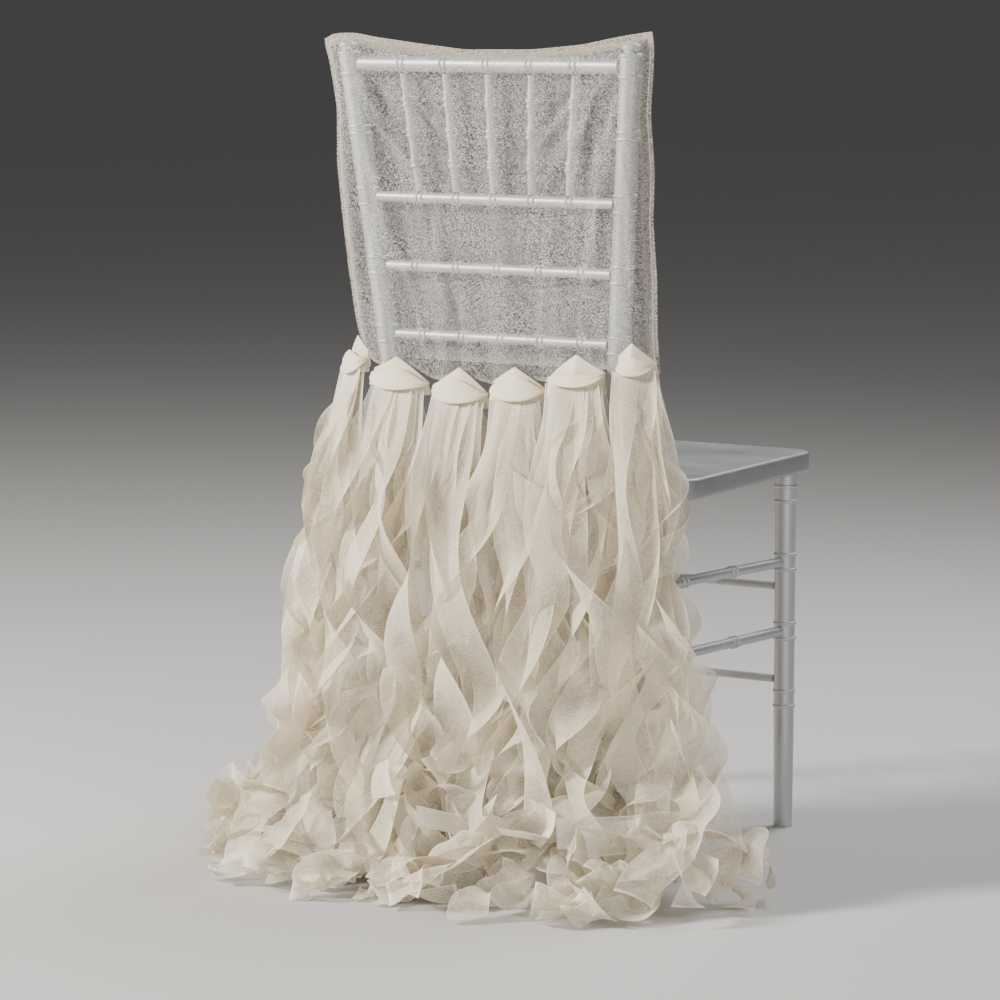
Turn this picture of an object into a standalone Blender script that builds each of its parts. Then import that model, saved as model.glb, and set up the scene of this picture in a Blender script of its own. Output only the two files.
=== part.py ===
# A sheer cover drawn over the back of a turned ballroom chair, with six knotted heads along
# its hem, each letting wide curling ribbons fall to the floor.
# Metres, +Z up. The chair's back faces -Y, its seat runs towards +Y, and z = 0 is the floor.

import math
import random

import bmesh
import bpy
import numpy as np
from mathutils import Matrix, Vector
from mathutils.bvhtree import BVHTree

GAP = 0.0003  # between pieces that touch

# Chair
SEAT_TOP = 0.447
SEAT_THICK = 0.0235
SEAT_REAR_HALF = 0.226
SEAT_FRONT_HALF = 0.207
SEAT_FRONT_Y = 0.357
SEAT_CORNER = 0.030
SEAT_EDGE_ROUND = 0.004

POST_RADIUS = 0.0128
POST_TOP = 0.9293
POST_HALF_TOP = 0.187
POST_HALF_BEND = 0.1405
POST_BEND = 0.46
RECLINE = 0.044
REAR_FOOT_HALF = 0.184
REAR_FOOT_Y = 0.010

FRONT_LEG_RADIUS = 0.0125
FRONT_LEG_HALF = 0.1845
FRONT_LEG_Y = 0.319
FOOT_RADIUS = 0.0105

RING_HEIGHT = 0.0014
RING_HALF = 0.0022
POST_SIDES = 10
RAIL_SIDES = 8

# Back rails from the top: height, radius, outer ring place as a share of the half width
RAILS = (
    dict(height=0.9026, radius=0.0085, ring=0.615),
    dict(height=0.7524, radius=0.0062, ring=0.585),
    dict(height=0.6741, radius=0.0060, ring=0.68),
    dict(height=0.5956, radius=0.0060, ring=0.68),
)
SPINDLES = 5
SPINDLE_RADIUS = 0.0063
SPINDLE_TOP_RADIUS = 0.0043

SIDE_STRETCHERS = (0.317, 0.235)
FRONT_STRETCHERS = (0.287, 0.176)
BACK_STRETCHER = 0.262
SIDE_STRETCHER_RADIUS = 0.0060
FRONT_STRETCHER_RADIUS = 0.0047

# Cover
CLOTH = 0.0012
SEAM = 0.0062  # width of the flat seam along the sides and the top
PANEL_DEPTH = 0.0176  # from the middle plane of the chair's back to the middle of the cloth
MID_SAG = 0.0030  # how far the cloth falls in between the posts
FRONT_HEM = 0.566

# Side seams: height, distance from the middle on the left and on the right
SIDE_SEAMS = (
    dict(height=0.940, left=0.2170, right=0.2125),
    dict(height=0.926, left=0.2190, right=0.2145),
    dict(height=0.905, left=0.2135, right=0.2130),
    dict(height=0.852, left=0.2068, right=0.2065),
    dict(height=0.790, left=0.2112, right=0.2085),
    dict(height=0.735, left=0.2085, right=0.2040),
    dict(height=0.668, left=0.2038, right=0.2055),
    dict(height=0.609, left=0.1975, right=0.2030),
    dict(height=0.575, left=0.1900, right=0.2045),
    dict(height=0.530, left=0.1880, right=0.2045),
)

# Top seam: distance across, height
TOP_SEAM = (
    dict(across=-0.219, height=0.927),
    dict(across=-0.214, height=0.9335),
    dict(across=-0.203, height=0.9363),
    dict(across=-0.176, height=0.9370),
    dict(across=-0.150, height=0.9325),
    dict(across=-0.097, height=0.9262),
    dict(across=-0.030, height=0.9192),
    dict(across=0.060, height=0.9200),
    dict(across=0.123, height=0.9256),
    dict(across=0.170, height=0.9345),
    dict(across=0.214, height=0.9408),
)

# Hem of the rear panel: distance across, height
REAR_HEM = (
    dict(across=-0.190, height=0.578),
    dict(across=-0.158, height=0.559),
    dict(across=-0.118, height=0.562),
    dict(across=-0.082, height=0.545),
    dict(across=-0.040, height=0.552),
    dict(across=0.000, height=0.543),
    dict(across=0.037, height=0.553),
    dict(across=0.074, height=0.551),
    dict(across=0.115, height=0.566),
    dict(across=0.155, height=0.571),
    dict(across=0.175, height=0.585),
    dict(across=0.206, height=0.586),
)

# Folds of the rear panel: start and end (across, height), how far they stand out, half width
FOLDS = (
    dict(start=(-0.172, 0.900), end=(-0.085, 0.770), rise=0.0042, width=0.013),
    dict(start=(-0.176, 0.880), end=(-0.125, 0.700), rise=0.0034, width=0.011),
    dict(start=(-0.190, 0.830), end=(-0.178, 0.600), rise=0.0040, width=0.008),
    dict(start=(0.176, 0.900), end=(0.095, 0.790), rise=0.0046, width=0.012),
    dict(start=(0.182, 0.885), end=(0.135, 0.690), rise=0.0036, width=0.010),
    dict(start=(0.192, 0.860), end=(0.180, 0.610), rise=0.0044, width=0.008),
    dict(start=(-0.070, 0.730), end=(-0.062, 0.560), rise=0.0030, width=0.014),
    dict(start=(0.015, 0.860), end=(0.020, 0.575), rise=0.0028, width=0.016),
    dict(start=(0.085, 0.700), end=(0.092, 0.570), rise=0.0034, width=0.013),
    dict(start=(-0.020, 0.700), end=(-0.010, 0.560), rise=-0.0026, width=0.012),
    dict(start=(0.050, 0.680), end=(0.055, 0.565), rise=-0.0030, width=0.012),
)

# Knotted heads along the hem, from the left: centre of the underside, width of the underside,
# height to the peak, where the peak stands across the head, turn about Z in degrees, and
# columns of ribbons
HEADS = (
    dict(x=-0.1985, y=-0.0200, z=0.551, width=0.054, rise=0.044, peak=0.10, turn=-50, columns=4),
    dict(x=-0.1210, y=-0.0405, z=0.536, width=0.077, rise=0.038, peak=0.04, turn=0, columns=5),
    dict(x=-0.0400, y=-0.0400, z=0.526, width=0.075, rise=0.039, peak=0.02, turn=0, columns=5),
    dict(x=0.0370, y=-0.0405, z=0.532, width=0.070, rise=0.037, peak=-0.05, turn=0, columns=5),
    dict(x=0.1115, y=-0.0425, z=0.550, width=0.072, rise=0.036, peak=0.08, turn=0, columns=5),
    dict(x=0.1845, y=-0.0450, z=0.566, width=0.052, rise=0.037, peak=-0.10, turn=12, columns=4),
)
HEAD_DEPTH = 0.021
HEAD_ROWS = 2
HEAD_SLIDE = 0.008  # longest step that seats a head on the cloth

# Ribbons
RIBBON_THICK = 0.0013
RIBBON_WIDTH = 0.040
RIBBON_SECTIONS = 13
RIBBON_CLEAR = 0.0007
BEND_RADIUS = 0.024
TAIL = 0.045  # length that lies on the floor past the bend
FLOOR_LEFT = -0.296
FLOOR_RIGHT = 0.335
CURVE = dict(middle=0.018, half=0.360, start=-0.035, left_reach=0.262, right_reach=0.185)
NEAR_Y = -0.050
ROOT_SHARE = 0.80  # of a cell of the head's underside, left to its ribbon
SEED = 5
DRAPE_TRIES = 500

SILVER = (0.60, 0.61, 0.62, 1.0)
SHEER = (0.66, 0.63, 0.58, 1.0)
IVORY = (0.80, 0.76, 0.68, 1.0)


def clear_scene():
    for item in list(bpy.data.objects):
        bpy.data.objects.remove(item, do_unlink=True)


def make_material(name, colour, roughness, metallic):
    material = bpy.data.materials.new(name)
    material.use_nodes = True
    shader = material.node_tree.nodes["Principled BSDF"]
    shader.inputs["Base Color"].default_value = colour
    shader.inputs["Roughness"].default_value = roughness
    shader.inputs["Metallic"].default_value = metallic
    return material


def add_object(name, mesh, material, parent):
    item = bpy.data.objects.new(name, mesh)
    bpy.context.scene.collection.objects.link(item)
    mesh.materials.append(material)
    item.parent = parent
    return item


def mesh_from(bm, name):
    bmesh.ops.recalc_face_normals(bm, faces=bm.faces)
    mesh = bpy.data.meshes.new(name)
    bm.to_mesh(mesh)
    bm.free()
    return mesh


def smooth(share):
    share = np.clip(share, 0.0, 1.0)
    return share * share * (3 - 2 * share)


def listed(table, key):
    return [row[key] for row in table]


# Turned members

def turned_mesh(name, rows, sides):
    """A profile of (height, radius) rows, spun about Z."""
    bm = bmesh.new()
    line = [bm.verts.new((radius, 0, height)) for height, radius in rows]
    edges = [bm.edges.new(pair) for pair in zip(line, line[1:])]
    bmesh.ops.spin(bm, geom=line + edges, cent=(0, 0, 0), axis=(0, 0, 1),
                   angle=math.tau, steps=sides, use_merge=True)
    bmesh.ops.remove_doubles(bm, verts=bm.verts, dist=0.00001)
    mesh = mesh_from(bm, name)
    mesh.shade_smooth()
    mesh.set_sharp_from_angle(angle=math.radians(50))
    return mesh


def ring(height, radius):
    """A small raised ring round a member."""
    return [
        (height - RING_HALF, radius),
        (height, radius + RING_HEIGHT),
        (height + RING_HALF, radius),
    ]


def ring_pair(height, radius, half_gap):
    """A ring below and one above a joint."""
    return ring(height - half_gap, radius) + ring(height + half_gap, radius)


def post_centre(height):
    """Centre of the right rear post at a height: half spacing and Y."""
    if height > POST_BEND:
        share = (height - POST_BEND) / (POST_TOP - POST_BEND)
        return POST_HALF_BEND + (POST_HALF_TOP - POST_HALF_BEND) * share, -RECLINE * share
    share = 1 - height / POST_BEND
    return POST_HALF_BEND + (REAR_FOOT_HALF - POST_HALF_BEND) * share, REAR_FOOT_Y * share


def back_plane(height):
    """Y of the middle plane of the chair's back."""
    return -RECLINE * (np.asarray(height) - POST_BEND) / (POST_TOP - POST_BEND)


def post_rows():
    rows = [(0.0, 0.0), (0.0, FOOT_RADIUS), (0.14, POST_RADIUS - 0.0008)]
    for height in SIDE_STRETCHERS[::-1]:
        rows += ring_pair(height, POST_RADIUS, SIDE_STRETCHER_RADIUS + 0.003)
    rows += [(0.405, POST_RADIUS), (POST_BEND, POST_RADIUS), (0.53, POST_RADIUS)]
    middle = (RAILS[0]["height"] + RAILS[1]["height"]) / 2
    for rail in RAILS[:0:-1]:
        rows += ring_pair(rail["height"], POST_RADIUS, rail["radius"] + 0.003)
    rows += ring_pair(middle, POST_RADIUS, 0.004)
    rows += ring_pair(RAILS[0]["height"], POST_RADIUS - 0.0004, RAILS[0]["radius"] + 0.0032)
    knob = POST_TOP - 0.010
    rows += [(knob - 0.0015, 0.0078), (knob + 0.003, 0.0108), (knob + 0.0075, 0.0085), (POST_TOP, 0.0)]
    return rows


def add_posts(parent, material):
    for side, label in ((-1, "left"), (1, "right")):
        mesh = turned_mesh(f"back_post_{label}", post_rows(), POST_SIDES)
        for vert in mesh.vertices:
            half, along = post_centre(vert.co.z)
            vert.co.x += side * half
            vert.co.y += along
        add_object(mesh.name, mesh, material, parent)


def add_front_legs(parent, material):
    top = SEAT_TOP - SEAT_THICK - GAP
    rows = [(0.0, 0.0), (0.0, FOOT_RADIUS), (0.12, FRONT_LEG_RADIUS - 0.0006)]
    for height in (0.154,) + SIDE_STRETCHERS[::-1] + (0.398,):
        rows += ring_pair(height, FRONT_LEG_RADIUS, SIDE_STRETCHER_RADIUS + 0.003)
    rows += [(top, FRONT_LEG_RADIUS), (top, 0.0)]
    for side, label in ((-1, "left"), (1, "right")):
        mesh = turned_mesh(f"front_leg_{label}", rows, POST_SIDES)
        leg = add_object(mesh.name, mesh, material, parent)
        leg.location = (side * FRONT_LEG_HALF, FRONT_LEG_Y, 0)


def add_bar(name, start, end, rows, parent, material):
    """A turned bar whose own Z runs from start to end."""
    start, end = Vector(start), Vector(end)
    mesh = turned_mesh(name, rows, RAIL_SIDES)
    bar = add_object(name, mesh, material, parent)
    bar.location = start
    bar.rotation_mode = "QUATERNION"
    bar.rotation_quaternion = (end - start).to_track_quat("Z", "Y")
    return bar


def plain_rows(length, radius, rings):
    rows = [(0.0, 0.0), (0.0, radius)]
    for place in sorted(rings):
        rows += ring(place, radius)
    return rows + [(length, radius), (length, 0.0)]


def spindle_place(index, rail):
    """Distance across of a spindle's end at a rail."""
    outer = rail["ring"] * post_centre(rail["height"])[0]
    return outer * (2 * index / (SPINDLES - 1) - 1)


def add_back(parent, material):
    for number, rail in enumerate(RAILS, 1):
        half, along = post_centre(rail["height"])
        lean = rail["radius"] * (POST_HALF_TOP - POST_HALF_BEND) / (POST_TOP - POST_BEND)
        reach = half - POST_RADIUS - GAP - lean
        places = [reach + spindle_place(i, rail) for i in range(SPINDLES)]
        rows = plain_rows(2 * reach, rail["radius"], places)
        add_bar(f"back_rail_{number}", (-reach, along, rail["height"]), (reach, along, rail["height"]),
                rows, parent, material)
    upper, lower = RAILS[0], RAILS[1]
    for i in range(SPINDLES):
        top_z = upper["height"] - upper["radius"] - RING_HEIGHT - GAP
        low_z = lower["height"] + lower["radius"] + RING_HEIGHT + GAP
        start = Vector((spindle_place(i, lower), back_plane(low_z), low_z))
        end = Vector((spindle_place(i, upper), back_plane(top_z), top_z))
        length = (end - start).length - 0.0004
        rows = [(0.0, 0.0), (0.0, SPINDLE_TOP_RADIUS + 0.0007)]
        for share in (0.24, 0.5, 0.76):
            radius = SPINDLE_RADIUS - 0.0012 * share
            rows += [(share * length - 0.012, radius - 0.0006), (share * length - 0.0035, radius + 0.0010),
                     (share * length, radius - 0.0002), (share * length + 0.0035, radius + 0.0010)]
        rows += [(length, SPINDLE_TOP_RADIUS), (length, 0.0)]
        add_bar(f"spindle_{i + 1}", start, end, rows, parent, material)


def add_stretchers(parent, material):
    for side, label in ((-1, "left"), (1, "right")):
        for number, height in enumerate(SIDE_STRETCHERS, 1):
            half, along = post_centre(height)
            rear = Vector((side * half, along, height))
            front = Vector((side * FRONT_LEG_HALF, FRONT_LEG_Y, height))
            way = (front - rear).normalized()
            start = rear + way * (POST_RADIUS + GAP)
            end = front - way * (FRONT_LEG_RADIUS + GAP)
            length = (end - start).length
            places = [length * share + step for share in (1 / 3, 2 / 3) for step in (-0.004, 0.004)]
            add_bar(f"side_stretcher_{label}_{number}", start, end,
                    plain_rows(length, SIDE_STRETCHER_RADIUS, places), parent, material)
    reach = FRONT_LEG_HALF - FRONT_LEG_RADIUS - GAP
    for number, height in enumerate(FRONT_STRETCHERS, 1):
        places = [reach - 0.006, reach, reach + 0.006]
        add_bar(f"front_stretcher_{number}", (-reach, FRONT_LEG_Y, height), (reach, FRONT_LEG_Y, height),
                plain_rows(2 * reach, FRONT_STRETCHER_RADIUS, places), parent, material)
    half, along = post_centre(BACK_STRETCHER)
    reach = half - POST_RADIUS - GAP - 0.0006
    add_bar("back_stretcher", (-reach, along, BACK_STRETCHER), (reach, along, BACK_STRETCHER),
            plain_rows(2 * reach, SIDE_STRETCHER_RADIUS, [reach]), parent, material)


def add_seat(parent, material):
    """A flat board with rounded corners and a softened edge."""
    rear = REAR_FOOT_Y * (1 - (SEAT_TOP - SEAT_THICK) / POST_BEND) + POST_RADIUS + GAP
    corners = (
        (-SEAT_REAR_HALF, rear), (SEAT_REAR_HALF, rear),
        (SEAT_FRONT_HALF, SEAT_FRONT_Y), (-SEAT_FRONT_HALF, SEAT_FRONT_Y),
    )
    bm = bmesh.new()
    bm.faces.new([bm.verts.new((x, y, SEAT_TOP - SEAT_THICK)) for x, y in corners])
    bmesh.ops.bevel(bm, geom=list(bm.verts), offset=SEAT_CORNER, segments=4, profile=0.5,
                    affect="VERTICES")
    made = bmesh.ops.extrude_face_region(bm, geom=list(bm.faces))
    tops = [item for item in made["geom"] if isinstance(item, bmesh.types.BMVert)]
    bmesh.ops.translate(bm, verts=tops, vec=(0, 0, SEAT_THICK))
    seat = add_object("seat", mesh_from(bm, "seat"), material, parent)
    bevel = seat.modifiers.new("soft_edge", "BEVEL")
    bevel.width = SEAT_EDGE_ROUND
    bevel.segments = 2
    bevel.limit_method = "ANGLE"
    bevel.angle_limit = math.radians(60)


# Cover panels

def side_seam(height, key):
    heights = listed(SIDE_SEAMS, "height")[::-1]
    return np.interp(height, heights, listed(SIDE_SEAMS, key)[::-1])


def top_seam(across):
    return np.interp(across, listed(TOP_SEAM, "across"), listed(TOP_SEAM, "height"))


def rear_hem(across):
    return np.interp(across, listed(REAR_HEM, "across"), listed(REAR_HEM, "height"))


def fold_rise(across, height, folds):
    """How far the folds push the cloth out: a soft ridge along each fold's line, fading at its ends."""
    total = np.zeros_like(across)
    for fold in folds:
        start = np.array(fold["start"])
        way = np.array(fold["end"]) - start
        length = np.hypot(*way)
        away_x, away_z = across - start[0], height - start[1]
        share = (away_x * way[0] + away_z * way[1]) / length**2
        off = (away_x * way[1] - away_z * way[0]) / length
        fade = smooth(share / 0.25) * smooth((1.25 - share) / 0.25)
        total += fold["rise"] * np.exp(-((off / fold["width"]) ** 2)) * fade
    return total


def panel_depth(across, height, folds):
    """Depth of a panel from the middle plane: nothing at its seams, round over the posts and the top rail."""
    half = POST_HALF_BEND + (POST_HALF_TOP - POST_HALF_BEND) * (height - POST_BEND) / (POST_TOP - POST_BEND)
    edge = np.where(across < 0, side_seam(height, "left"), side_seam(height, "right")) - SEAM
    side = np.clip((edge - np.abs(across)) / (edge - half), 0, 1)
    top = top_seam(across) - SEAM
    roll = np.where(np.abs(across) > 0.14, 0.020, 0.0150)
    over = np.clip((top - height) / roll, 0, 1)
    shape = np.sqrt(1 - (1 - side) ** 2) * np.sqrt(1 - (1 - over) ** 2)
    sag = MID_SAG * smooth((half - np.abs(across)) / 0.06)
    depth = shape * (PANEL_DEPTH - sag + fold_rise(across, height, folds))
    return np.maximum(depth, 0.5 * (CLOTH + GAP))


def panel_grid(columns, rows, hem):
    """Across and height of each point: columns close up at the side seams, rows at the top seam."""
    seam_u = (0.0, 0.0165, 0.021, 0.030, 0.048, 0.072)
    inner = np.linspace(0.11, 0.89, columns)
    u = np.concatenate([seam_u, inner, 1 - np.array(seam_u[::-1])])
    seam_v = (0.0, 0.0172, 0.0196, 0.0255, 0.037, 0.056)
    v = np.concatenate([seam_v, np.linspace(0.085, 1.0, rows)])
    u, v = np.meshgrid(u, v)
    height = 0.93 + (0.56 - 0.93) * v
    for _ in range(3):
        left, right = side_seam(height, "left"), side_seam(height, "right")
        across = -left + (left + right) * u
        height = top_seam(across) + (hem(across) - top_seam(across)) * v
    return across, height


def add_panel(name, columns, rows, hem, facing, folds, parent, material):
    across, height = panel_grid(columns, rows, hem)
    depth = facing * panel_depth(across, height, folds) + back_plane(height)
    lines, places = across.shape
    points = np.stack([across, depth, height], axis=-1).reshape(-1, 3)
    first = (np.arange(lines - 1)[:, None] * places + np.arange(places - 1)).reshape(-1)
    faces = np.stack([first, first + 1, first + places + 1, first + places], axis=-1)
    if facing > 0:
        faces = faces[:, ::-1]
    mesh = bpy.data.meshes.new(name)
    mesh.from_pydata(points.tolist(), [], faces.tolist())
    mesh.shade_smooth()
    panel = add_object(name, mesh, material, parent)
    wall = panel.modifiers.new("cloth", "SOLIDIFY")
    wall.thickness = CLOTH
    wall.offset = 0.0
    wall.use_even_offset = False
    return panel


# Heads and ribbons

def head_frame(head):
    """Place of a head: its own X runs along the hem, and its -Y faces out, leaning with the back."""
    lean = math.atan(RECLINE / (POST_TOP - POST_BEND))
    turn = Matrix.Rotation(math.radians(head["turn"]), 4, "Z")
    place = Matrix.Translation((head["x"], head["y"], head["z"]))
    return place @ turn @ Matrix.Rotation(lean, 4, "X")


def skirt_edge(across):
    """Y of the curve on the floor where the outermost ribbons land, and its outward heading about Z."""
    share = (across - CURVE["middle"]) / CURVE["half"]
    reach = CURVE["left_reach"] + (CURVE["right_reach"] - CURVE["left_reach"]) * (share + 1) / 2
    rise = math.sqrt(1 - share**2)
    return CURVE["start"] - reach * rise, math.atan2(share / CURVE["half"], rise / reach)


def ribbon_plan(column, row, number, draw, calm):
    """Where one ribbon ends and how it curls; calm runs from 1 down to 0 as lanes get tight.

    Columns count across all heads. Ribbons of neighbouring columns hang at staggered depths; the
    outermost ones lie on the floor, and the others end just above it.
    """
    level = (2 * row + column % 2) / 3
    pitch = (FLOOR_RIGHT - FLOOR_LEFT) / (sum(head["columns"] for head in HEADS) - 1)
    floor_x = FLOOR_LEFT + column * pitch + draw.uniform(-0.003, 0.003)
    far, heading = skirt_edge(floor_x)
    floor_y = far + (NEAR_Y - far) * level + draw.uniform(-0.008, 0.008)
    lands = level == 0
    return dict(
        floor=Vector((floor_x, floor_y, 0 if lands else draw.uniform(0.006, 0.032))),
        lands=lands,
        heading=heading if lands else 0.4 * heading + draw.uniform(-0.6, 0.6) * calm,
        curl=draw.uniform(0.009, 0.020) * (0.4 + 0.6 * calm),
        turns=1.9 + draw.uniform(-0.35, 0.35),
        phase=0.9 * number + draw.uniform(-1.0, 1.0) * (2.2 - 1.5 * calm),
        swing=draw.uniform(0.5, 1.2) * (0.3 + 0.7 * calm),
        width=RIBBON_WIDTH * draw.uniform(0.88, 1.08) * (0.66 + 0.34 * calm),
        tail=TAIL * draw.uniform(0.6, 1.2),
    )


def ribbon_sections(root, root_half, turn, plan):
    """Centre, width way and half width of each cross-section, root to end.

    The ribbon drops from its root, spreading first fast and then slowly, while it winds round its
    own line and twists; one that lands then bends and lies flat on the floor.
    """
    sections = []
    out = Vector((math.sin(plan["heading"]), -math.cos(plan["heading"]), 0))
    end = plan["floor"].copy()
    if plan["lands"]:
        end += Vector((0, 0, BEND_RADIUS)) - out * BEND_RADIUS
    for k in range(1, RIBBON_SECTIONS + 1):
        t = k / RIBBON_SECTIONS
        aside = 0.52 * (1 - math.exp(-t / 0.10)) + 0.48 * t**2.6
        outward = 0.32 * (1 - math.exp(-t / 0.12)) + 0.68 * t**2.2
        fade = (1 - t**4) ** 0.5 if plan["lands"] else 1
        wind = plan["curl"] * 1.5 * t**0.7 * fade
        angle = plan["phase"] + math.tau * plan["turns"] * t
        centre = Vector((
            root.x + (end.x - root.x) * aside + wind * math.cos(angle),
            root.y + (end.y - root.y) * outward + wind * math.sin(angle),
            root.z + (end.z - root.z) * t,
        ))
        twist = turn + (plan["heading"] - turn) * float(smooth(t))
        sway = math.sin(math.pi * t) ** 0.5 if plan["lands"] else math.sin(math.pi * t / 2) ** 0.5
        twist += plan["swing"] * math.sin(angle + 1.2) * sway
        half = root_half + (plan["width"] / 2 - root_half) * float(smooth(t / 0.5))
        sections.append((centre, Vector((math.cos(twist), math.sin(twist), 0)), half))
    if plan["lands"]:
        across = Vector((math.cos(plan["heading"]), math.sin(plan["heading"]), 0))
        half = plan["width"] / 2
        ground = Vector((end.x, end.y, RIBBON_THICK / 2))
        sections.append((ground + out * 0.009 + Vector((0, 0, 0.0080)), across, half))
        sections.append((ground + out * BEND_RADIUS, across, half))
        sections.append((ground + out * (BEND_RADIUS + plan["tail"]), across, half * 0.96))
    return sections


def ribbon_rings(root, root_half, turn, plan, grow):
    """Four corners of each cross-section, thinning from the root; grow widens them for a clearance test."""
    sections = ribbon_sections(root, root_half, turn, plan)
    centres = [root] + [section[0] for section in sections]
    last = len(sections) - (1 if plan["lands"] else 0)
    rings = []
    for k, (centre, across, half) in enumerate(sections):
        if k >= last - 1:
            along = centres[-1] - centres[-2]
        else:
            along = centres[k + 2] - centres[k]
        along.normalize()
        across = (across - along * across.dot(along)).normalized()
        normal = along.cross(across)
        thick = RIBBON_THICK / 2 + (0.0018 * max(0.0, 1 - 2.5 * k / RIBBON_SECTIONS))
        w, n = across * (half + grow), normal * (thick + grow)
        rings.append([centre - w - n, centre + w - n, centre + w + n, centre - w + n])
    return rings


def strip_triangles(above, below):
    """Triangles between two rings as (ring, corner) pairs; both wide sides are split along one diagonal."""
    rising = (above[1] - below[0]).length < (above[0] - below[1]).length
    triangles = []
    for c in range(4):
        after = (c + 1) % 4
        if rising == (c < 2):
            triangles += [((0, c), (0, after), (1, c)), ((0, after), (1, after), (1, c))]
        else:
            triangles += [((0, c), (0, after), (1, after)), ((0, c), (1, after), (1, c))]
    return triangles


def ribbon_tree(root_ring, rings):
    rings = [root_ring] + rings
    points = [corner for four in rings for corner in four]
    faces = []
    for k in range(len(rings) - 1):
        for triangle in strip_triangles(rings[k], rings[k + 1]):
            faces.append([4 * (k + ring) + corner for ring, corner in triangle])
    faces.append((0, 1, 2, 3))
    end = 4 * (len(rings) - 1)
    faces.append((end, end + 1, end + 2, end + 3))
    return BVHTree.FromPolygons(points, faces)


def clear_ribbon(cell, hung, draw):
    """The first of a run of seeded drapes that touches nothing; each few tries the curl calms down."""
    turn = math.radians(HEADS[cell["number"] - 1]["turn"])
    inner = cell["corners"]
    root = sum(inner, Vector()) / 4
    root_half = (inner[1] - inner[0]).length / 2
    start = [corner - Vector((0, 0, 0.0005)) for corner in inner[::-1]]
    for attempt in range(DRAPE_TRIES):
        calm = 1 - attempt / (DRAPE_TRIES * 1.06)
        plan = ribbon_plan(cell["column"], cell["row"], cell["number"], draw, calm)
        tree = ribbon_tree(start, ribbon_rings(root, root_half, turn, plan, RIBBON_CLEAR))
        rings = ribbon_rings(root, root_half, turn, plan, 0.0)
        above_floor = min(corner.z for four in rings for corner in four) > -0.000001
        if above_floor and not any(tree.overlap(other) for other in hung):
            hung.append(tree)
            return rings
    print("no clear drape for head", cell["number"], "column", cell["column"], "row", cell["row"])
    return []


def head_layers():
    """Outlines of a head from its underside up: share of the width, of the depth, of the rise."""
    return (
        dict(width=1.00, depth=0.86, rise=0.0),
        dict(width=1.00, depth=1.00, rise=0.16),
        dict(width=0.80, depth=0.96, rise=0.44),
        dict(width=0.46, depth=0.66, rise=0.78),
        dict(width=0.12, depth=0.30, rise=1.0),
    )


def underside(head):
    """Points of the grid of a head's underside, from its left to its right and from its outer side in."""
    frame = head_frame(head)
    width, depth = head["width"], HEAD_DEPTH * head_layers()[0]["depth"]
    return {
        (i, j): frame @ Vector((width * (i / head["columns"] - 0.5), depth * (j / HEAD_ROWS - 0.5), 0))
        for j in range(HEAD_ROWS + 1)
        for i in range(head["columns"] + 1)
    }


def ribbon_cells():
    """The root of every ribbon, the ones that land first and the innermost last."""
    cells = []
    first = 0
    for number, head in enumerate(HEADS, 1):
        grid = underside(head)
        for j in range(HEAD_ROWS):
            for i in range(head["columns"]):
                corners = [grid[i, j], grid[i + 1, j], grid[i + 1, j + 1], grid[i, j + 1]]
                middle = sum(corners, Vector()) / 4
                corners = [middle + (corner - middle) * ROOT_SHARE for corner in corners]
                cells.append(dict(number=number, column=first + i, i=i, row=j, corners=corners))
        first += head["columns"]
    return sorted(cells, key=lambda cell: (2 * cell["row"] + cell["column"] % 2, cell["column"]))


def head_shell(head, bm):
    """The folded cap above its underside; returns the underside's points."""
    frame = head_frame(head)
    cols, rows = head["columns"], HEAD_ROWS
    grid = {place: bm.verts.new(point) for place, point in underside(head).items()}
    rim = [(i, 0) for i in range(cols)] + [(cols, j) for j in range(rows)]
    rim += [(i, rows) for i in range(cols, 0, -1)] + [(0, j) for j in range(rows, 0, -1)]
    below = [grid[place] for place in rim]
    for layer in head_layers()[1:]:
        above = []
        for i, j in rim:
            back = 0.10 * HEAD_DEPTH * (1 - layer["depth"])
            above.append(bm.verts.new(frame @ Vector((
                head["width"] * (layer["width"] * (i / cols - 0.5) + head["peak"] * layer["rise"]),
                HEAD_DEPTH * layer["depth"] * (j / rows - 0.5) + back,
                head["rise"] * layer["rise"],
            ))))
        for k in range(len(rim)):
            after = (k + 1) % len(rim)
            bm.faces.new((below[k], below[after], above[after], above[k]))
        below = above
    bm.faces.new(below)
    return grid


def build_head(head, number, cells, parent, material):
    """A folded cap with a peak, whose underside grows the ribbons."""
    bm = bmesh.new()
    grid = head_shell(head, bm)
    for cell in cells:
        i, j = cell["i"], cell["row"]
        outer = [grid[i, j], grid[i + 1, j], grid[i + 1, j + 1], grid[i, j + 1]]
        above = [bm.verts.new(corner) for corner in cell["corners"][::-1]]
        for k in range(4):
            bm.faces.new((outer[(k + 1) % 4], outer[k], above[3 - k], above[(2 - k) % 4]))
        for four in cell["rings"]:
            lower = [bm.verts.new(corner) for corner in four]
            pair = (above, lower)
            for triangle in strip_triangles([vert.co for vert in above], four):
                bm.faces.new([pair[ring][corner] for ring, corner in triangle])
            above = lower
        bm.faces.new(above)
    mesh = mesh_from(bm, f"ribbons_{number}")
    return add_object(mesh.name, mesh, material, parent)


def seat_head(head, cloths):
    """Slides a head in along its own depth, in ever smaller steps, until it all but meets the cloth."""
    inward = head_frame(head).to_3x3() @ Vector((0, 1, 0))
    bm = bmesh.new()
    head_shell(head, bm)
    moved, step = 0.0, HEAD_SLIDE
    while step > GAP / 16:
        bmesh.ops.translate(bm, verts=bm.verts, vec=inward * step)
        shell = BVHTree.FromBMesh(bm)
        if any(shell.overlap(cloth) for cloth in cloths):
            bmesh.ops.translate(bm, verts=bm.verts, vec=-inward * step)
        else:
            moved += step
        step /= 2
    bm.free()
    place = inward * (moved - GAP)
    head.update(x=head["x"] + place.x, y=head["y"] + place.y, z=head["z"] + place.z)


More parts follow.
